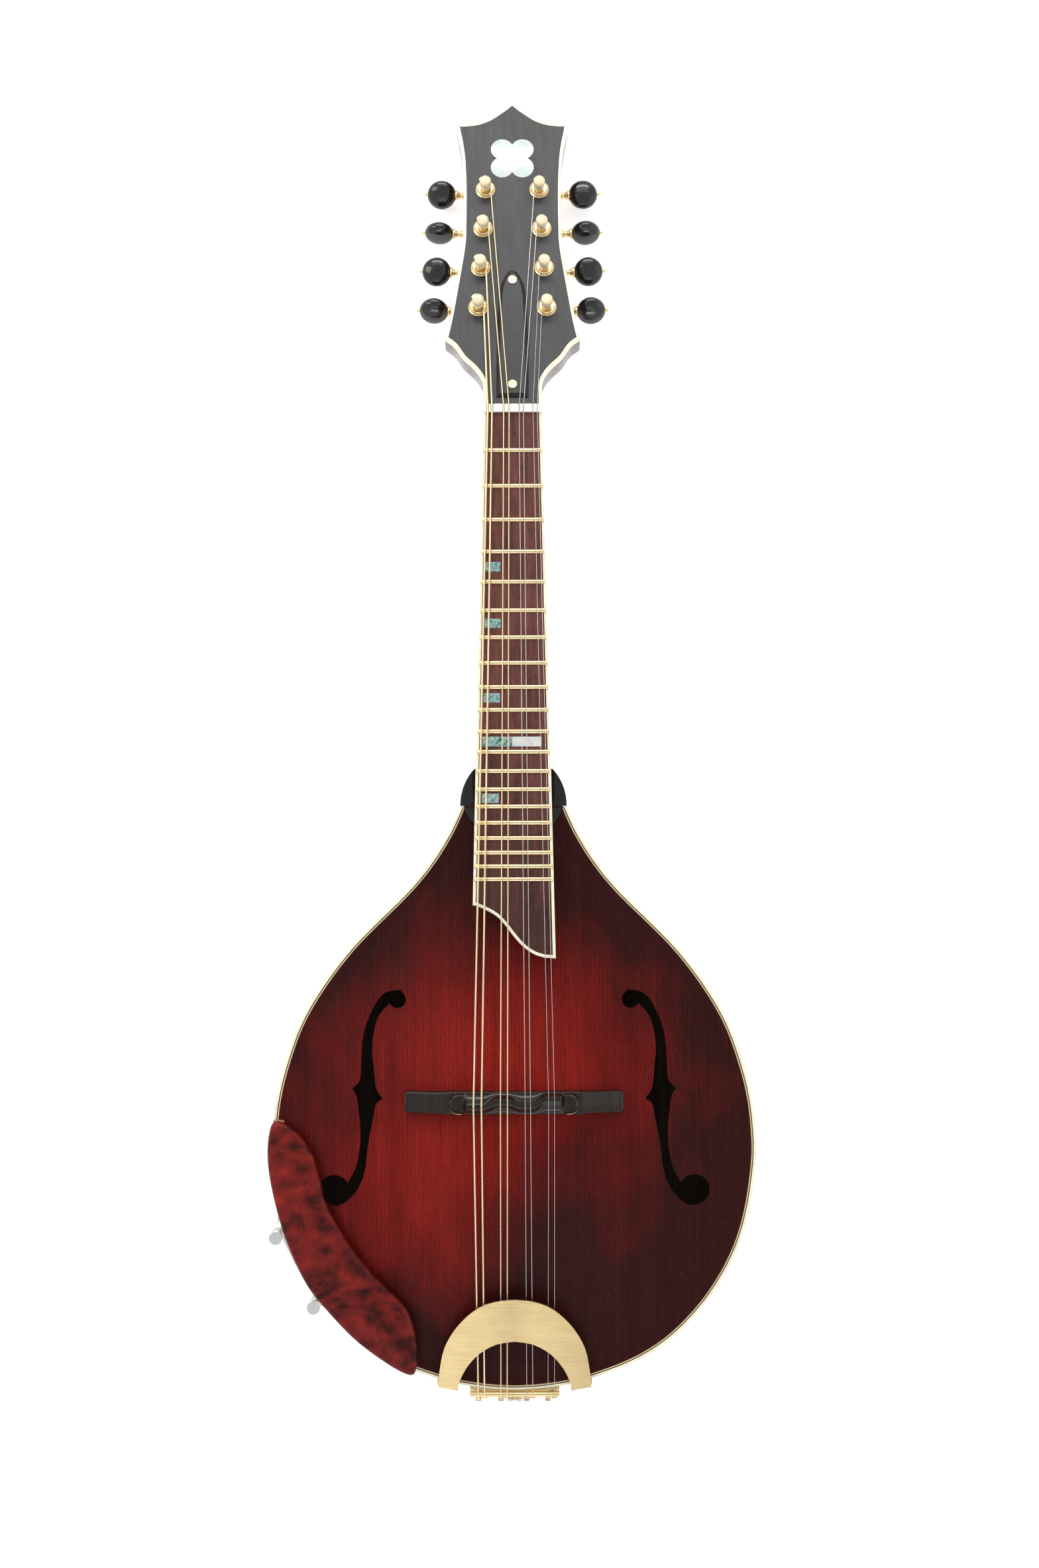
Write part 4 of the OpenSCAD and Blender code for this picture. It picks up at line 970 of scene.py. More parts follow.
# ------------------------------------------------------------------ neck and headstock wood
def board_width(y):
    """Width of the fingerboard, y being 0 at the nut and negative towards the body."""
    return 30.2 - y * 10.8 / 241


def to_board(y):
    """Place along the fingerboard of a y of the body."""
    return -(NUT_Y - y) / cos(BOARD_TILT)


def neck_shaft():
    """Neck wood from its end under the head down into the heel, cut off at the joint."""
    # (y, depth, share of the width, drop of the upper edge), from the head to the nut
    neck_tip = [(25, 12.0, 0.25, 7.5), (22, 13.4, 0.5, 5.6), (17, 14.1, 0.78, 3.6),
                (11, 14.3, 0.95, 1.8)]
    # (y, depth), from the nut towards the body
    shaft = [(4.4, 14.2), (-6, 14.4), (-30, 14.8), (-70, 15.4), (-110, 16), (-145, 16.8),
             (-162, 18.4), (-176, 22), (-188, 29), (-197, 38), (-204, 46)]
    angles = np.linspace(0, pi, 33)
    rows = []
    for y, depth, share, drop in neck_tip:
        half_width = (board_width(0) / 2 - 0.3) * share
        rows.append([(-half_width * cos(a), y, NECK_TOP - drop - (depth - drop) * sin(a) ** 0.85)
                     for a in angles])
    for y, depth in curve(shaft, 5):
        half_width = board_width(min(0, y)) / 2 - 0.3
        rows.append([(-half_width * cos(a) * (1.02 - 0.02 * abs(cos(a))), y,
                      NECK_TOP - depth * sin(a) ** 0.85) for a in angles])
    ob = loft("neck_wood", rows, MAT["neck"], frame=BOARD, body=None, angle=32)
    bm = bmesh.new()
    bm.from_mesh(ob.data)
    bmesh.ops.bisect_plane(bm, geom=bm.verts[:] + bm.edges[:] + bm.faces[:],
                           plane_co=(0, (JOINT_Y + TAIL_Y + 0.02) / 1000, 0),
                           plane_no=(0, 1, 0), clear_inner=True, dist=1e-7)
    bmesh.ops.holes_fill(bm, edges=[e for e in bm.edges if e.is_boundary], sides=0)
    bm.to_mesh(ob.data)
    bm.free()
    return ob


neck = neck_shaft()

# (z, radius) of the heel, from the back up
HEEL = [(-RIM_Z + 0.02, 14.2), (-18, 14.8), (-9, 17.2), (0, 20.5), (8, 23.8), (15, 26.4),
        (RIM_Z - 1.1, 27.45)]
heel = loft("heel_tmp", [[(x, y, z) for x, y in arc(radius, 0, pi, 37, y=JOINT_Y + 0.02)]
                         for z, radius in curve(HEEL, 2.5)], MAT["neck"], body=None, angle=32)

# (x, y) up the treble edge of the headstock, in three curves that meet at corners
HEAD_HALF = [
    [(15.1, 0.2), (15.3, 11.7), (16.9, 16.5), (20.3, 21.2), (25.6, 26.5), (30.3, 33.5),
     (35.2, 37.5)],
    [(35.2, 37.5), (32.8, 49.2), (31, 60.2), (28.7, 74.9), (26.3, 91.7), (25.9, 103.6),
     (25.8, 115.6), (25.9, 127.7), (26.6, 142.8), (27.9, 153), (28.9, 158), (29.8, 163.7)],
    [(29.8, 163.7), (23.9, 163.9), (18.4, 164.7), (13, 166.8), (7.6, 170.5), (3.2, 174),
     (0, 177.1)]]
HEAD_BINDING = 1.62
head_half = chain(HEAD_HALF, 1.5)
head_path = np.concatenate([head_half, mirror(head_half[:-1])])
head_inner = inset_path(head_path, HEAD_BINDING)
head_inner = head_inner[head_inner[:, 1] > 0.1]

head = slab("head_wood", head_path,
            [(0.5, -HEAD_THICK), (0.22, -HEAD_THICK + 0.12), (0.06, -HEAD_THICK + 0.3),
             (0, -HEAD_THICK + 0.6), (0, -3.02)], MAT["neck"], frame=HEAD, body=None)
head_core = slab("core2_tmp", head_inner, [(0, -3.3), (0, -1.52)], MAT["neck"], frame=HEAD,
                 body=None)
tongue = box("tongue_tmp", (-10.9, JOINT_Y - 12.9, -RIB_Z + 0.1),
             (10.9, JOINT_Y + 1, RIB_Z - 0.1), BODY)
boolean(neck, heel, "UNION")
boolean(neck, tongue, "UNION")
boolean(head, head_core, "UNION", crossed=True)

# pocket under the rod cover: half width, and its two ends along the head
POCKET_X, POCKET_START, POCKET_END = 4.4, 4.6, 34.6
boolean(head, box("cut_tmp", (-POCKET_X, POCKET_START, -12), (POCKET_X, POCKET_END, 2), HEAD),
        "DIFFERENCE")
for piece in (neck, head):      # seat of the nut
    boolean(piece, box("cut_tmp", (-30, -0.02, NECK_TOP), (30, 4.98, 7), BOARD), "DIFFERENCE")
for number in range(1, 9):
    bore = [(0, -20), (TUNER_BORE, -20), (TUNER_BORE, 2), (0, 2)]
    boolean(head, lathe("hole_tmp", bore, MAT["neck"], tuner(number), 24, body=None),
            "DIFFERENCE")
for piece in (neck, head):
    tidy(piece.data, 32)
    settle(piece, "root")
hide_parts("neck")


def board_support():
    """Wood between the top and the raised end of the fingerboard."""
    half_width, start, end, corner = 18.6, 258, 318, 5
    outline = [(half_width, end), (-half_width, end),
               *arc(corner, pi, 1.5 * pi, 7, x=corner - half_width, y=start + corner),
               *arc(corner, -pi / 2, 0, 7, x=half_width - corner, y=start + corner)]
    under = NUT_Z + NECK_TOP / cos(BOARD_TILT)
    rows = [[(x, y, RIM_Z + 2.9) for x, y in outline],
            [(x, y, under + (NUT_Y - y) * tan(BOARD_TILT) - 0.02) for x, y in outline]]
    make("board_support", *skin(rows, flip_caps=True), MAT["neck"], slot="neck_finish")


board_support()


# ------------------------------------------------------------------ face of the headstock
def head_veneer(thick=1.5, bevel=0.06):
    """Sheet with the pocket and the tuner bores cut out, from a filled curve."""
    pocket = [(POCKET_X, POCKET_START), (POCKET_X, POCKET_END),
              (-POCKET_X, POCKET_END), (-POCKET_X, POCKET_START)]
    outlines = [head_inner, pocket]
    for number in range(1, 9):
        frame = HEAD.inverted() @ tuner(number)
        outlines.append([(frame @ Vector((x, y, 0)))[:2] for x, y in circle(TUNER_BORE, 40)])
    sheet = bpy.data.curves.new("head_veneer_c", "CURVE")
    sheet.dimensions = "2D"
    sheet.fill_mode = "BOTH"
    for outline in outlines:
        spline = sheet.splines.new("POLY")
        spline.points.add(len(outline) - 1)
        for point, (x, y) in zip(spline.points, outline):
            point.co = (x, y, 0, 1)
        spline.use_cyclic_u = True
    sheet.extrude = thick / 2 - bevel
    sheet.bevel_depth = bevel
    sheet.bevel_resolution = 1
    sheet.offset = -bevel
    holder = add_object("head_veneer_c", sheet)
    bpy.context.view_layer.update()
    evaluated = holder.evaluated_get(bpy.context.evaluated_depsgraph_get())
    mesh = bpy.data.meshes.new_from_object(evaluated)
    bpy.data.objects.remove(holder)
    mesh.name = "head_veneer"
    mesh.transform(Matrix.Scale(MM, 4) @ HEAD @ shift(0, 0, -thick / 2))
    mesh.materials.clear()
    mesh.materials.append(MAT["veneer"])
    ob = add_object("head_veneer", mesh)
    tidy(mesh)
    settle(ob, "root")
    flatten(ob, HEAD)
    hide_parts("headstock_veneer")


head_veneer()
strip("head_binding", head_path,
      [(0, -3), (0, -0.55), (0.16, -0.17), (0.55, 0.02), (HEAD_BINDING, 0.02),
       (HEAD_BINDING, -3)], MAT["cream"], frame=HEAD, slot="cream_binding",
      replaces="headstock_binding")
strip("head_line", head_inner, [(-0.02, -1), (-0.02, 0.012), (0.42, 0.012), (0.42, -1)],
      MAT["line"], frame=HEAD, slot="cream_binding")

# (x, y) up the treble edge of the rod cover
COVER_HALF = [(8.3, 3.9), (8.3, 17), (8.2, 30), (7.9, 42), (7.5, 53), (7.0, 61), (5.9, 68),
              (4.2, 72.4), (2.4, 75.2), (1.0, 76.3)]
cover_half = curve(COVER_HALF, 1.5)
cover = slab("rod_cover",
             np.concatenate([cover_half, [[0.45, 76.5], [-0.45, 76.5]], mirror(cover_half)]),
             [(0, 0.03), (0, 0.55), (0.08, 0.72), (0.28, 0.87), (0.8, 1.12), (1.35, 1.33),
              (1.6, 1.42), (1.9, 1.48)], MAT["cover"], frame=HEAD, slot="black_cap", angle=28)
flatten(cover, HEAD)
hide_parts("truss_cover")


def head_rosette(centre_y=143, disc=6.4, lobe=6.0, lobe_offset=7.6):
    """Pearl disc with four round lobes on its diagonals."""
    outline = []
    for k in range(160):
        angle = 2 * pi * k / 160
        reach = disc
        for diagonal in (45, 135, 225, 315):
            turn = angle - radians(diagonal)
            square = lobe ** 2 - (lobe_offset * sin(turn)) ** 2
            if square > 0 and cos(turn) > 0:
                reach = max(reach, lobe_offset * cos(turn) + sqrt(square))
        outline.append((reach * cos(angle), centre_y + reach * sin(angle)))
    slab("head_rosette", np.array(outline), [(0, -1.4), (0, 0.02), (0.08, 0.05)], MAT["pearl"],
         frame=HEAD, slot="pearl", replaces="pearl_inlays")


head_rosette()

# ------------------------------------------------------------------ fingerboard
# centre x, y in the body's frame, width, length, material
BOARD_MARKS = [
    (-10.5, 424, 8, 4.8, "abalone"), (-10.5, 394.8, 8, 4.8, "abalone"),
    (-10.9, 356.4, 8.2, 4.8, "abalone"), (-8.2, 334, 15, 5, "abalone"),
    (6.9, 334, 15, 5, "pearl"), (-11.8, 305, 8.6, 4.8, "abalone")]
for number, (x, y, width, length, mat) in enumerate(BOARD_MARKS, 1):
    corners = np.array([(-1, -1), (1, -1), (1, 1), (-1, 1)])
    slab(f"board_mark_{number}", (x, to_board(y)) + corners * (width / 2, length / 2),
         [(0, -1.2), (0, 0.005), (0.06, 0.03)], MAT[mat], frame=BOARD, slot="pearl")

# (x, y) of the sloped body end, from the bass side, y in the body's frame
BOARD_END = [(-19, 250.6), (-15.5, 249), (-11.7, 247.1), (-7.8, 244.4), (-3.9, 240.1),
             (-0.1, 235.1), (4.5, 230), (10, 226.1), (15.4, 224.2)]
TREBLE_END = 223.7
BOARD_BINDING = 1.5
bass_side = [(-board_width(y) / 2, y) for y in np.linspace(0, to_board(BOARD_END[0][1]), 30)]
treble_side = [(board_width(y) / 2, y) for y in np.linspace(to_board(TREBLE_END), 0, 30)]
board_end = curve([(x, to_board(y)) for x, y in BOARD_END], 1.2)
board_path = np.concatenate([bass_side, board_end, treble_side])
board_inner = inset_path(board_path, BOARD_BINDING)
board = slab("rosewood_board", board_inner, [(0, -5), (0, -0.02), (0.05, 0)], MAT["rosewood"],
             frame=BOARD, slot="rosewood")
flatten(board, BOARD)
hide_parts("fingerboard")
strip("board_binding", board_path,
      [(0, -5), (0, -0.5), (0.14, -0.16), (0.5, 0.0), (BOARD_BINDING, 0.0),
       (BOARD_BINDING, -5)], MAT["cream"], frame=BOARD, slot="cream_binding",
      replaces="fingerboard_binding")
strip("board_line", board_inner, [(-0.01, -1), (-0.01, 0.008), (0.3, 0.008), (0.3, -1)],
      MAT["line"], frame=BOARD, slot="cream_binding")

SCALE_LENGTH = 352.4
FRET_ENDS = [(0, 0.18), (0.12, 0.42), (0.45, 0.74), (1.1, 1.0)]   # inset, share of the height


def fret(number):
    y = -SCALE_LENGTH * (1 - 2 ** (-number / 12))
    end = board_width(y) / 2 - 0.25
    stations = [(-end + inset, share) for inset, share in FRET_ENDS] + [(0, 1.0)]
    stations += [(end - inset, share) for inset, share in reversed(FRET_ENDS)]
    return skin([[(x, y + 1.12 * cos(a), 0.02 + 1.06 * share * sin(a) ** 0.8)
                  for a in np.linspace(0, pi, 13)] for x, share in stations])


make("fret_wires", *merged([fret(number) for number in range(1, 21)]), MAT["fret"], BOARD,
     slot="gold_wire", replaces="frets", angle=40)
dress("nut", MAT["bone"], bevel=0.35, segments=3)

# ------------------------------------------------------------------ black caps at the joint
CAP_RADIUS = 27.4       # follows the heel
CAP_INNER, CAP_OUTER = 19.0, 24.8       # x of the caps on the top
cap_angle = acos(20.0 / CAP_RADIUS)
joint_outline = np.array([
    (20.2, JOINT_Y + 0.6), *arc(CAP_RADIUS, 0, cap_angle, 16, y=JOINT_Y + 0.6),
    (19.9, JOINT_Y + 0.6 + CAP_RADIUS * sin(cap_angle) - 0.2)])
top_outline = np.array(
    [(CAP_INNER, JOINT_Y - 0.6)]
    + [(x, JOINT_Y + 9 - sqrt(CAP_RADIUS ** 2 - x * x))
       for x in np.linspace(CAP_INNER, CAP_OUTER, 8)]
    + [(CAP_OUTER, JOINT_Y - 0.6)])
for side in ("bass", "treble"):
    place = mirror if side == "bass" else np.array
    joint_cap = slab(f"joint_cap_{side}", place(joint_outline),
                     [(0, RIM_Z - 1.05), (0, RIM_Z + 0.05), (0.1, RIM_Z + 0.19),
                      (0.3, RIM_Z + 0.25)], MAT["black"], slot="black_cap")
    slab(f"top_cap_{side}", place(top_outline),
         [(0, RIM_Z + 0.06), (0, RIM_Z + 0.75), (0.1, RIM_Z + 0.9), (0.3, RIM_Z + 0.96)],
         MAT["black"], slot="black_cap")
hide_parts("joint_caps")
slab("heel_cap", arc(14.1, 0, pi, 40, y=JOINT_Y + 0.05),
     [(0.5, -RIM_Z - 2), (0.15, -RIM_Z - 1.85), (0, -RIM_Z - 1.5), (0, -RIM_Z)],
     MAT["black"], slot="black_cap")

# ------------------------------------------------------------------ string table
# turns: wraps round the post; knob: turn of the tuner button in degrees
String = namedtuple("String", "radius turns nut_x saddle_x saddle_y tail_x knob")
STRINGS = [
    String(0.50, 2, -12.8, -20.4, 149.4, -18.7, 62),
    String(0.50, 2, -10.6, -16.4, 149.4, -15.5, 24),
    String(0.33, 3, -4.6, -6.8, 151.8, -7.1, 78),
    String(0.33, 3, -1.8, -3.3, 151.8, -3.9, 40),
    String(0.19, 4, 3.4, 5.6, 150, 6.2, 15),
    String(0.19, 4, 5.6, 8.3, 150, 9.3, 70),
    String(0.14, 5, 10.5, 17.4, 153.1, 17.1, 33),
    String(0.14, 5, 12.7, 20.4, 153.1, 20.4, 55)]


def string_look(number):
    """Material and slot: the four bass strings are wound, the others plain."""
    return ("bronze", "bronze_string") if number <= 4 else ("plain", "steel_string")


def nut_point(string):
    return BOARD @ Vector((string.nut_x, 2.1, 1.95))


# ------------------------------------------------------------------ tuners
WORM_AXIS = shift(0, 7.2, -20.5)
WORM_LEAD = 2 * pi * 4.8 / 16       # advance per turn: a wheel of radius 4.8 with 16 teeth
WORM_HALF = 3.39                    # half the length of the thread
POST_RADIUS = 2.32                  # where the string wraps
# (radius, height) from the inner end out to the button
WORM_SHAFT = [
    (0, -8.2), (2.3, -8.2), (2.3, -7), (1.5, -7), (1.5, 7), (2.6, 7), (2.6, 8.6), (2, 8.6),
    (2, 12.6), (1.5, 12.9), (1.5, 14.6), (2.1, 14.6), (2.1, 15.8), (3, 15.8), (3, 16.8),
    (1.5, 17.0), (1.5, 31.4), (1.1, 31.4), (1.1, 33.1), (0.75, 33.3), (0, 33.3)]
KNOB_RADIUS, KNOB_HALF = 7.68, 3.75
knob_half = [(KNOB_RADIUS * sin(a) ** 0.94, -KNOB_HALF * cos(a) ** 0.86)
             for a in np.linspace(0, pi / 2 - 0.12, 12)]
KNOB = knob_half + [(KNOB_RADIUS, 0)] + [(radius, -z) for radius, z in reversed(knob_half)]


def string_post(number):
    """Post from the CAD without its block of winding, with an ivory cap."""
    name = f"string_post_{number}"
    to_tuner = np.array(tuner(number).inverted())

    def height(points):
        return (np.array(points) * 1000) @ to_tuner[2, :3] + to_tuner[2, 3]

    mesh = NODES[f"post_{number}"].data.copy()
    mesh.name = name
    bm = bmesh.new()
    bm.from_mesh(mesh)
    bmesh.ops.remove_doubles(bm, verts=bm.verts, dist=1e-7)
    seen, unwanted = set(), []
    for start in bm.verts:
        if start in seen:
            continue
        seen.add(start)
        shell = [start]
        for vert in shell:      # the shell grows as it is walked
            for edge in vert.link_edges:
                other = edge.other_vert(vert)
                if other not in seen:
                    seen.add(other)
                    shell.append(other)
        z = height([vert.co for vert in shell])
        if z.min() > 3.2 and z.max() < 6.9:
            unwanted += shell
    bmesh.ops.delete(bm, geom=unwanted, context="VERTS")
    bm.to_mesh(mesh)
    bm.free()
    ob = add_object(name, mesh)
    mesh.materials.clear()
    mesh.materials.append(MAT["gold"])
    mesh.materials.append(MAT["ivory"])
    mesh.polygons.foreach_set("material_index",
                              [int(height(face.center) > 7.3) for face in mesh.polygons])
    if "custom_normal" in mesh.attributes:
        mesh.attributes.remove(mesh.attributes["custom_normal"])
    mesh.shade_smooth()
    mesh.set_sharp_from_angle(angle=radians(38))
    add_bevel(ob, 0.14)
    settle(ob, f"post_{number}", f"post_{number}")


def string_on_post(number, string):
    """The turns on the post, and the string from the nut to where it meets the post."""
    side, frame, radius = side_of(number), tuner(number), string.radius
    mat, slot = string_look(number)
    wrap = POST_RADIUS + radius
    nut = frame.inverted() @ nut_point(string)
    toward, spread = atan2(nut.y, nut.x), acos(wrap / hypot(nut.x, nut.y))
    touch = min((toward + spread, toward - spread), key=lambda a: side * cos(a))
    rise = 2 * radius + 0.05
    start_z = 5.6 - (string.turns - 1) * rise
    points = []
    for k in range(string.turns * 28 + 1):
        turn = k / 28
        angle = touch - side * 2 * pi * turn
        points.append((wrap * cos(angle), wrap * sin(angle), start_z + rise * turn))
    # up to the slot in the post, then across it
    slot_z = 8.6
    end_z, end_angle = points[-1][2], touch - side * 2 * pi * string.turns
    for k in range(1, 11):
        t = k / 10
        angle = end_angle - side * radians(150) * t
        reach = wrap + (3.06 + radius - wrap) * smoothstep(t * 1.3)
        points.append((reach * cos(angle), reach * sin(angle),
                       end_z + (slot_z - end_z) * smoothstep(t)))
    for reach in (2.4, 0.8, -1, -2.8, -4.2, -5.0):
        lift = 0.25 * (abs(reach) - 4) if reach < -4 else 0
        points.append((reach * cos(angle), reach * sin(angle), slot_z + lift))
    turns_mat = "bronze_turns" if mat == "bronze" else mat
    make(f"winding_{number}", *tube(points, radius, 10), MAT[turns_mat], frame,
         f"post_{number}", slot, angle=60)
    to_body = BODY.inverted()
    meet = to_body @ (frame @ Vector((wrap * cos(touch), wrap * sin(touch), start_z)))
    line = between(to_body @ nut_point(string), meet, np.linspace(0, 1, 6))
    make(f"string_head_{number}", *tube(line, radius, 10), MAT[mat], slot=slot, angle=60)


def worm_and_knob(number, string):
    side, body = side_of(number), f"tuner_{number}"
    frame = tuner(number) @ WORM_AXIS
    rows = []
    for x in np.linspace(-WORM_HALF, WORM_HALF, 73):
        taper = min(1.0, (WORM_HALF - abs(x)) / 0.35 + 0.55)
        phase = pi + 2 * pi * x / WORM_LEAD
        rows.append([(x, y, z) for y, z in circle(2.4 * taper, 32, x=0.4 * cos(phase),
                                                  y=0.4 * sin(phase))])
    loft(f"worm_thread_{number}", rows, MAT["gold"], frame=frame, body=body,
         slot="gold_plate", angle=60)
    lathe(f"worm_shaft_{number}", soften(WORM_SHAFT), MAT["gold"],
          frame @ Matrix.Rotation(radians(90 * side), 4, "Y"), 32, body=body,
          slot="gold_plate", replaces=f"worm_{number}", angle=30)
    lathe(f"tuner_knob_{number}", KNOB, MAT["button"],
          frame @ turn_x(radians(string.knob)) @ shift(side * 24.2, 0, 0), 56, body=body,
          slot="ebony", replaces=f"button_{number}", angle=60)


dress("tuner_plates", MAT["gold"], bevel=0.12)
dress("post_bushings", MAT["gold"], bevel=0.14)
dress("small_screws", MAT["gold"], bevel=0.12)
for number, string in enumerate(STRINGS, 1):
    string_post(number)
    string_on_post(number, string)
    worm_and_knob(number, string)

# ------------------------------------------------------------------ strings over the body
SADDLE_TOP = 30.8       # over the rim
LOOP_Y = -4.2           # end loops, behind the tailpiece
LOOP_RADIUS = 1.4       # inside the loop


def body_string(number, string):
    """String from the nut to the saddle, then on to its loop at the tail."""
    radius, x = string.radius, string.tail_x
    mat, slot = string_look(number)
    nut = BODY.inverted() @ nut_point(string)
    saddle = Vector((string.saddle_x, string.saddle_y, RIM_Z + SADDLE_TOP + radius + 0.03))
    crest = Vector((x, -2.6, RIM_Z + 2.45 + radius))
    outside = Vector((x, -3.6 - radius, RIM_Z + 0.9))
    loop_z = RIM_Z - (5 if number % 2 else 11.5)
    loop_top = Vector((x, LOOP_Y, loop_z + LOOP_RADIUS + radius))

    line = between(nut, saddle, np.linspace(0, 1, 60))
    ob = make(f"string_{number}", *tube(line, radius, 12), MAT[mat], body=None, slot=slot,
              angle=60)
    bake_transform(ob)

    bend_start = saddle + (crest - saddle) * 0.985
    bend_middle = crest + Vector((0, -0.35, 0.0))
    bend_end = outside + (loop_top - outside) * 0.12
    path = between(saddle, crest, np.linspace(0, 0.985, 30))[:-1]
    path += [tuple((1 - t) ** 2 * bend_start + 2 * t * (1 - t) * bend_middle + t * t * bend_end)
             for t in np.linspace(0, 1, 9)]
    path += between(outside, loop_top, np.linspace(0.3, 1, 6))
    rows = []
    for t in np.linspace(0, 2 * pi, 40, endpoint=False):
        rows.append([(x + (LOOP_RADIUS + radius + out) * sin(t), LOOP_Y + along,
                      loop_z + (LOOP_RADIUS + radius + out) * cos(t))
                     for out, along in circle(radius, 12)])
    twist = [(x + 1.6 * radius * cos(t * 9), LOOP_Y + 1.6 * radius * sin(t * 9) * 0.6,
              loop_top.z + 0.4 + t) for t in np.linspace(0, 3.2, 34)]
    parts = [tube(path, radius, 12), skin(rows, wrap=True), tube(twist, radius * 0.75, 8)]
    ob = make(f"string_tail_{number}", *merged(parts), MAT[mat], body=None, slot=slot, angle=60)
    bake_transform(ob)
    return ob


for number, string in enumerate(STRINGS, 1):
    last_string = body_string(number, string)
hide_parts("wound_strings", "plain_strings")

# ------------------------------------------------------------------ bridge
BRIDGE_Y = 150.4
FOOT_HALF, FOOT_ROUND = 55.75, 1.3      # half length and rounded ends
# height over the rim against distance from the centre line
FOOT_X = [0, 31.5, 33.5, 35.5, 38, 44, 50, 53.2, 54.9, 55.75]
FOOT_Z = [21.2, 21.2, 21.05, 20.5, 19.3, 17.3, 15.6, 14.5, 14.1, 13.3]


def bridge_foot():
    """Foot fitted to the carved top, lifted clear of it in the middle."""
    straight = FOOT_HALF - FOOT_ROUND
    rounded = straight + FOOT_ROUND * np.sin(np.linspace(0.2, 1.4, 6))
    stations = np.sort(np.concatenate([np.linspace(-straight, straight, 101),
                                       [-FOOT_HALF, FOOT_HALF], -rounded, rounded]))
    rows = []
    for x in stations:
        off = abs(x)
        half_width = 5.8 - 0.35 * float(smoothstep((off - 32) / 8))
        if off > straight:
            t = (off - straight) / FOOT_ROUND
            half_width = half_width - FOOT_ROUND + FOOT_ROUND * sqrt(max(0, 1 - t * t))
        lift = 1.6 * float(1 - smoothstep((off - 15.5) / 3.0))
        under = np.array([(x, BRIDGE_Y + y) for y in np.linspace(-half_width, half_width, 7)])
        under_z = top_z(under) + lift + (0.02 if lift < 0.1 else 0)
        section = [(x, y, z) for (_, y), z in zip(under, under_z)]
        highest = max(under_z)
        crown = max(float(np.interp(off, FOOT_X, FOOT_Z)) + RIM_Z, highest + 0.8)
        edge = min(0.9, half_width * 0.5, (crown - highest) * 0.5)
        for facing, start in ((1, 0), (-1, pi / 2)):
            centre = BRIDGE_Y + facing * (half_width - edge)
            section += [(x, y, z) for y, z in arc(edge, start, start + pi / 2, 5, x=centre,
                                                  y=crown - edge)]
        rows.append(section)
    loft("bridge_foot", rows, MAT["ebony"], slot="ebony", replaces="bridge_base", angle=40)


SADDLE_Y = 150.9
SADDLE_HALF = 33.2          # half length
SADDLE_WIDTH = 5.3          # half width


def saddle():
    """Saddle with a crest stepped along y for each pair of strings, and low rounded ends."""
    rows = []
    for x in -np.cos(np.linspace(0, pi, 221)) * SADDLE_HALF:
        off = abs(x)
        crest_y = (149.4 + 2.4 * smoothstep((x + 16.0) / 7.5) - 1.8 * smoothstep((x + 3.2) / 7.0)
                   + 3.1 * smoothstep((x - 9.0) / 7.5))
        half_width = SADDLE_WIDTH
        if off >= 27.9:
            half_width = max(0.3, sqrt(max(0, SADDLE_WIDTH ** 2 - (off - 27.9) ** 2)))
        fall = float(smoothstep((off - 23.2) / 2.6))        # 0 under the strings, 1 on the ends
        middle = 1 - fall
        end_round = float(smoothstep((SADDLE_HALF + 0.1 - off) / 2.2)) ** 0.5
        shoulder = 27.0 - 0.1 * fall
        crest = SADDLE_TOP - 1.8 * fall - 0.9 * exp(-((off - 24.9) / 0.7) ** 2)
        crest = shoulder + (crest - shoulder) * (middle + fall * end_round)
        centre = SADDLE_Y + (crest_y - SADDLE_Y) * middle
        flat = half_width * 0.55
        if half_width > 3.4:
            flat = 1.75 + (half_width - 1.5 - 1.75) * fall
        y0, y1 = SADDLE_Y - half_width, SADDLE_Y + half_width
        low, high = max(centre - flat, y0 + 0.12), min(centre + flat, y1 - 0.12)
        drop = 0.42 * middle + 0.12 * fall
        power = 1.7 * middle + 0.75 * fall

        def slope_z(t):
            return shoulder + (crest - drop - shoulder) * t ** power

        section = [(y0 + 0.25, 24.95), (y1 - 0.25, 24.95), (y1, 25.2), (y1, shoulder - 0.25),
                   (y1 - 0.12, shoulder)]
        section += [(y1 - 0.12 + (high - y1 + 0.12) * t, slope_z(t))
                    for t in (0.2, 0.4, 0.6, 0.8, 0.94)]
        section += [((low + high) / 2 + t * (high - low) / 2,
                     crest + 0.04 * middle - drop * t * t)
                    for t in (1.0, 0.6, 0.2, -0.2, -0.6, -1.0)]
        section += [(y0 + 0.12 + (low - y0 - 0.12) * t, slope_z(t))
                    for t in (0.94, 0.8, 0.6, 0.4, 0.2)]
        section += [(y0 + 0.12, shoulder), (y0, shoulder - 0.25), (y0, 25.2)]
        rows.append([(x, y, RIM_Z + z) for y, z in section])
    loft("saddle_top", rows, MAT["ebony"], body="saddle", slot="ebony", replaces="saddle",
         angle=32)


# (radius, height over the rim); the widest part is knurled
WHEEL = [(1.57, 23.1), (4.6, 23.1), (5.0, 23.22), (5.15, 23.5), (5.15, 24.5), (5.0, 24.78),
         (4.6, 24.9), (1.57, 24.9)]


def thumbwheel(node, x):
    rows = []
    for radius, z in WHEEL:
        row = []
        for k in range(240):
            angle = 2 * pi * k / 240
            reach = radius + (0.22 * abs(sin(angle * 20)) if radius > 5.1 else 0)
            row.append((x + reach * cos(angle), BRIDGE_Y + reach * sin(angle), RIM_Z + z))
        rows.append(row)
    make(f"knurled_{node}", *skin(rows, wrap=True), MAT["gold"], body=node, slot="gold_plate",
         replaces=node, angle=30)


bridge_foot()
saddle()
dress("bridge_studs", MAT["steel"], bevel=0.15)
thumbwheel("thumbwheel_bass", -27.8)
thumbwheel("thumbwheel_treble", 27.8)

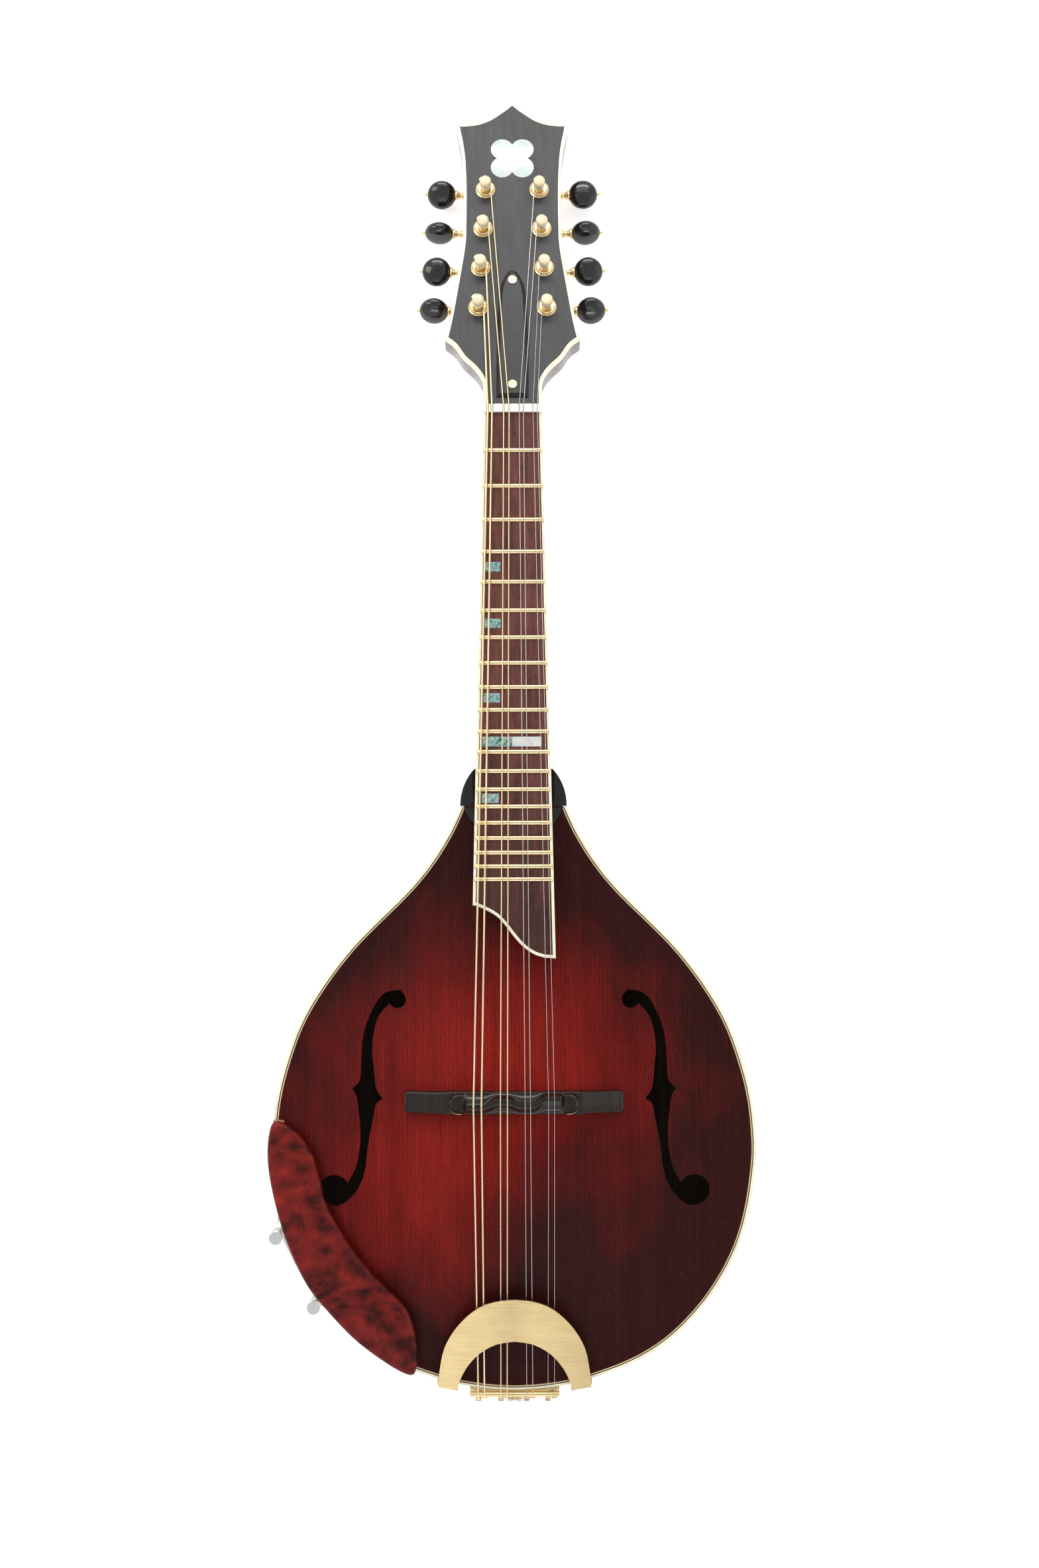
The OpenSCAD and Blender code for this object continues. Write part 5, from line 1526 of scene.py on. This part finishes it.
# ------------------------------------------------------------------ tail
# (radius, height out from the tail)
STRAP_BUTTON = [
    (0, -16), (3.2, -16), (3.5, 1.75), (5.2, 1.75), (5.45, 2.1), (5.3, 3.0), (4.7, 3.6),
    (4.25, 4.6), (4.3, 5.9), (4.9, 6.8), (5.9, 7.2), (6.4, 7.8), (6.5, 8.6), (6.3, 9.4),
    (5.6, 10.1), (4.4, 10.5), (2.4, 10.75), (0, 10.8)]
dress("tailpiece", MAT["brass"], bevel=0.25, segments=3)
lathe("strap_button", STRAP_BUTTON, MAT["nickel"], BODY @ turn_x(radians(90)), 64,
      slot="steel", replaces="end_pin", angle=40)

# ------------------------------------------------------------------ armrest
# (x, y), anticlockwise from its head end at the bass rim
ARMREST = [
    (-122.5, 139.8), (-125.6, 133.6), (-126.4, 119.3), (-123.4, 100.6), (-116.8, 77.8),
    (-106.4, 55.8), (-94, 40.4), (-79.8, 26.2), (-62.6, 14), (-53, 9.9), (-50.2, 13.7),
    (-49.9, 24.2), (-52.5, 37.5), (-57.2, 46.1), (-68.6, 57.5), (-80.9, 71.7), (-90.4, 86),
    (-96.9, 99.3), (-99.7, 110.8), (-103.5, 123.1), (-110.1, 132.6), (-115.8, 137.4)]
arm = curve(ARMREST, 1.6, loop=True)
arm_shifts = mitres(arm, loop=True)


def armrest():
    """Burl plate, domed from its edge and tilted up towards the centre line."""
    rings = [arm + arm_shifts * inset for inset in (0, 0.25, 0.6, 1.1, 1.8, 2.6)]
    xs, ys = np.meshgrid(np.arange(-127, -48, 1.7), np.arange(9, 141, 1.7))
    fill = np.stack([xs.ravel(), ys.ravel()], 1)
    fill = fill[inside(arm, fill)]
    fill = fill[distance(arm, fill) > 3.6]
    edges = [(i, (i + 1) % len(arm)) for i in range(len(arm))]
    flat, triangles = triangulate(np.concatenate([*rings, fill]), edges, arm)
    depth = distance(arm, flat)
    depth[depth < 1e-3] = 0
    tilt = 0.035 * (flat[:, 0] + 125)
    rounding = 1.9 * np.sqrt(np.clip(1 - (1 - np.clip(depth / 2.4, 0, 1)) ** 2, 0, 1))
    height = 6.1 + rounding + 1.75 * np.sin(np.clip(depth / 12, 0, 1) * np.pi / 2)
    verts = [(x, y, RIM_Z + z + t) for (x, y), z, t in zip(flat, height, tilt)]
    verts += [(x, y, RIM_Z + 5.2 + t) for (x, y), t in zip(flat, tilt)]
    make("armrest_burl", verts, thick_faces(triangles, len(flat)), MAT["burl"],
         slot="red_burl", replaces="armrest", angle=45)


armrest()
under_arm = rim + inward * 3.0
covered = np.where(inside(arm + arm_shifts, under_arm) & (under_arm[:, 0] < 0))[0]
strip("armrest_cork", rim[covered[0] - 1:covered[-1] + 1],
      [(0.5, RIM_Z + 0.25), (0.5, RIM_Z + 5.1), (5.8, RIM_Z + 5.25), (5.8, RIM_Z + 0.35)],
      MAT["cork"], slot="red_burl")
for node in ("armrest_bracket", "clamp_barrel_1", "clamp_barrel_2", "clamp_foot"):
    clamp = dress(node, MAT["nickel"], bevel=0.2)
# a layer of the clamp foot is cork
foot = clamp.data
foot.materials.append(MAT["cork"])
foot_z = np.array([face.center.z for face in foot.polygons]) * 1000
is_cork = (foot_z > -RIM_Z - 3.79) & (foot_z < -RIM_Z - 2.0)
foot.polygons.foreach_set("material_index", is_cork.astype(int).tolist())

# ------------------------------------------------------------------ inside
for node in ("linings", "end_blocks", "tone_bars"):
    dress(node, MAT["spruce"], bevel=0.2)
dress("truss_rod", MAT["steel"], bevel=0.1)
dress("truss_nut", MAT["brass"], bevel=0.15)

# ------------------------------------------------------------------ floor, lights and world
FLOOR_HALF = 6.0


def paper():
    mat = Mat("paper")
    tone = mat.tones(mat.noise(300, 300, 300), 0.80, 0.84)
    return mat.shade(Base_Color=tone, Roughness=0.9, Emission_Color=(1, 1, 1, 1),
                     Emission_Strength=0.60)


floor_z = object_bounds()[0].z - 0.0005
floor_mesh = bpy.data.meshes.new("floor")
floor_mesh.from_pydata([(x * FLOOR_HALF, y * FLOOR_HALF, floor_z)
                        for x, y in ((-1, -1), (1, -1), (1, 1), (-1, 1))], [], [(0, 1, 2, 3)])
floor = add_object("floor", floor_mesh)
floor_mesh.materials.append(paper().material)

WHITE = (1, 1, 1)
# name, place, aim, width, height, watts, colour
LIGHTS = [
    ("key", (-1.05, 0.80, 1.15), (0, 0.2, 0), 0.60, 1.0, 5.4, (1.0, 0.985, 0.96)),
    ("fill", (1.15, 0.35, 0.75), (0, 0.25, 0), 0.9, 1.2, 1.2, (0.97, 0.985, 1.0)),
    ("head_panel", (0.0, 1.35, 1.15), (0, 0.55, 0), 1.0, 0.5, 1.6, WHITE),
    ("head_strip", (0.0, 1.75, 0.95), (0, 0.5, 0), 1.3, 0.34, 9.0, WHITE),
    ("tail_strip", (0.0, -1.30, 0.95), (0, 0.1, 0), 1.2, 0.14, 3.2, WHITE),
    ("tail_panel", (0.0, -0.62, 1.25), (0, 0, 0), 0.9, 0.45, 0.7, WHITE)]
for name, place, aim, width, height, watts, colour in LIGHTS:
    light = bpy.data.lights.new(name, "AREA")
    light.shape = "RECTANGLE"
    light.size = width
    light.size_y = height
    light.energy = watts
    light.color = colour
    lamp = add_object(name, light)
    lamp.location = place
    lamp.rotation_euler = (Vector(aim) - Vector(place)).to_track_quat("-Z", "Y").to_euler()

# (position, brightness) against the height of the direction
SKY = [(0.0, 0.80), (0.30, 0.90), (0.62, 0.75), (0.86, 0.40), (1.0, 0.58)]
world = bpy.data.worlds.new("studio")
world.use_nodes = True
nodes, links = world.node_tree.nodes, world.node_tree.links
direction = nodes.new("ShaderNodeSeparateXYZ")
links.new(nodes.new("ShaderNodeTexCoord").outputs["Generated"], direction.inputs[0])
sky = nodes.new("ShaderNodeValToRGB")
links.new(direction.outputs[2], sky.inputs[0])
stops = sky.color_ramp.elements
for k, (position, level) in enumerate(SKY):
    # each new stop goes in at 0.5 and is then moved, which sets the order they are held in
    stop = stops[k] if k < 2 else stops.new(0.5)
    stop.position = position
    stop.color = (level * 0.97, level * 0.985, level, 1)
links.new(sky.outputs[0], nodes["Background"].inputs[0])
nodes["Background"].inputs[1].default_value = 1.0
scene.world = world

# ------------------------------------------------------------------ camera
lens = bpy.data.cameras.new("photo")
lens.sensor_width = 36
lens.lens = 62.43
camera = add_object("photo", lens)
camera.location = (0.00314, 0.3208, 1.42225)
camera.rotation_euler = (0, 0, radians(-0.126))
scene.camera = camera
scene.view_settings.view_transform = "Standard"
scene.view_settings.look = "None"
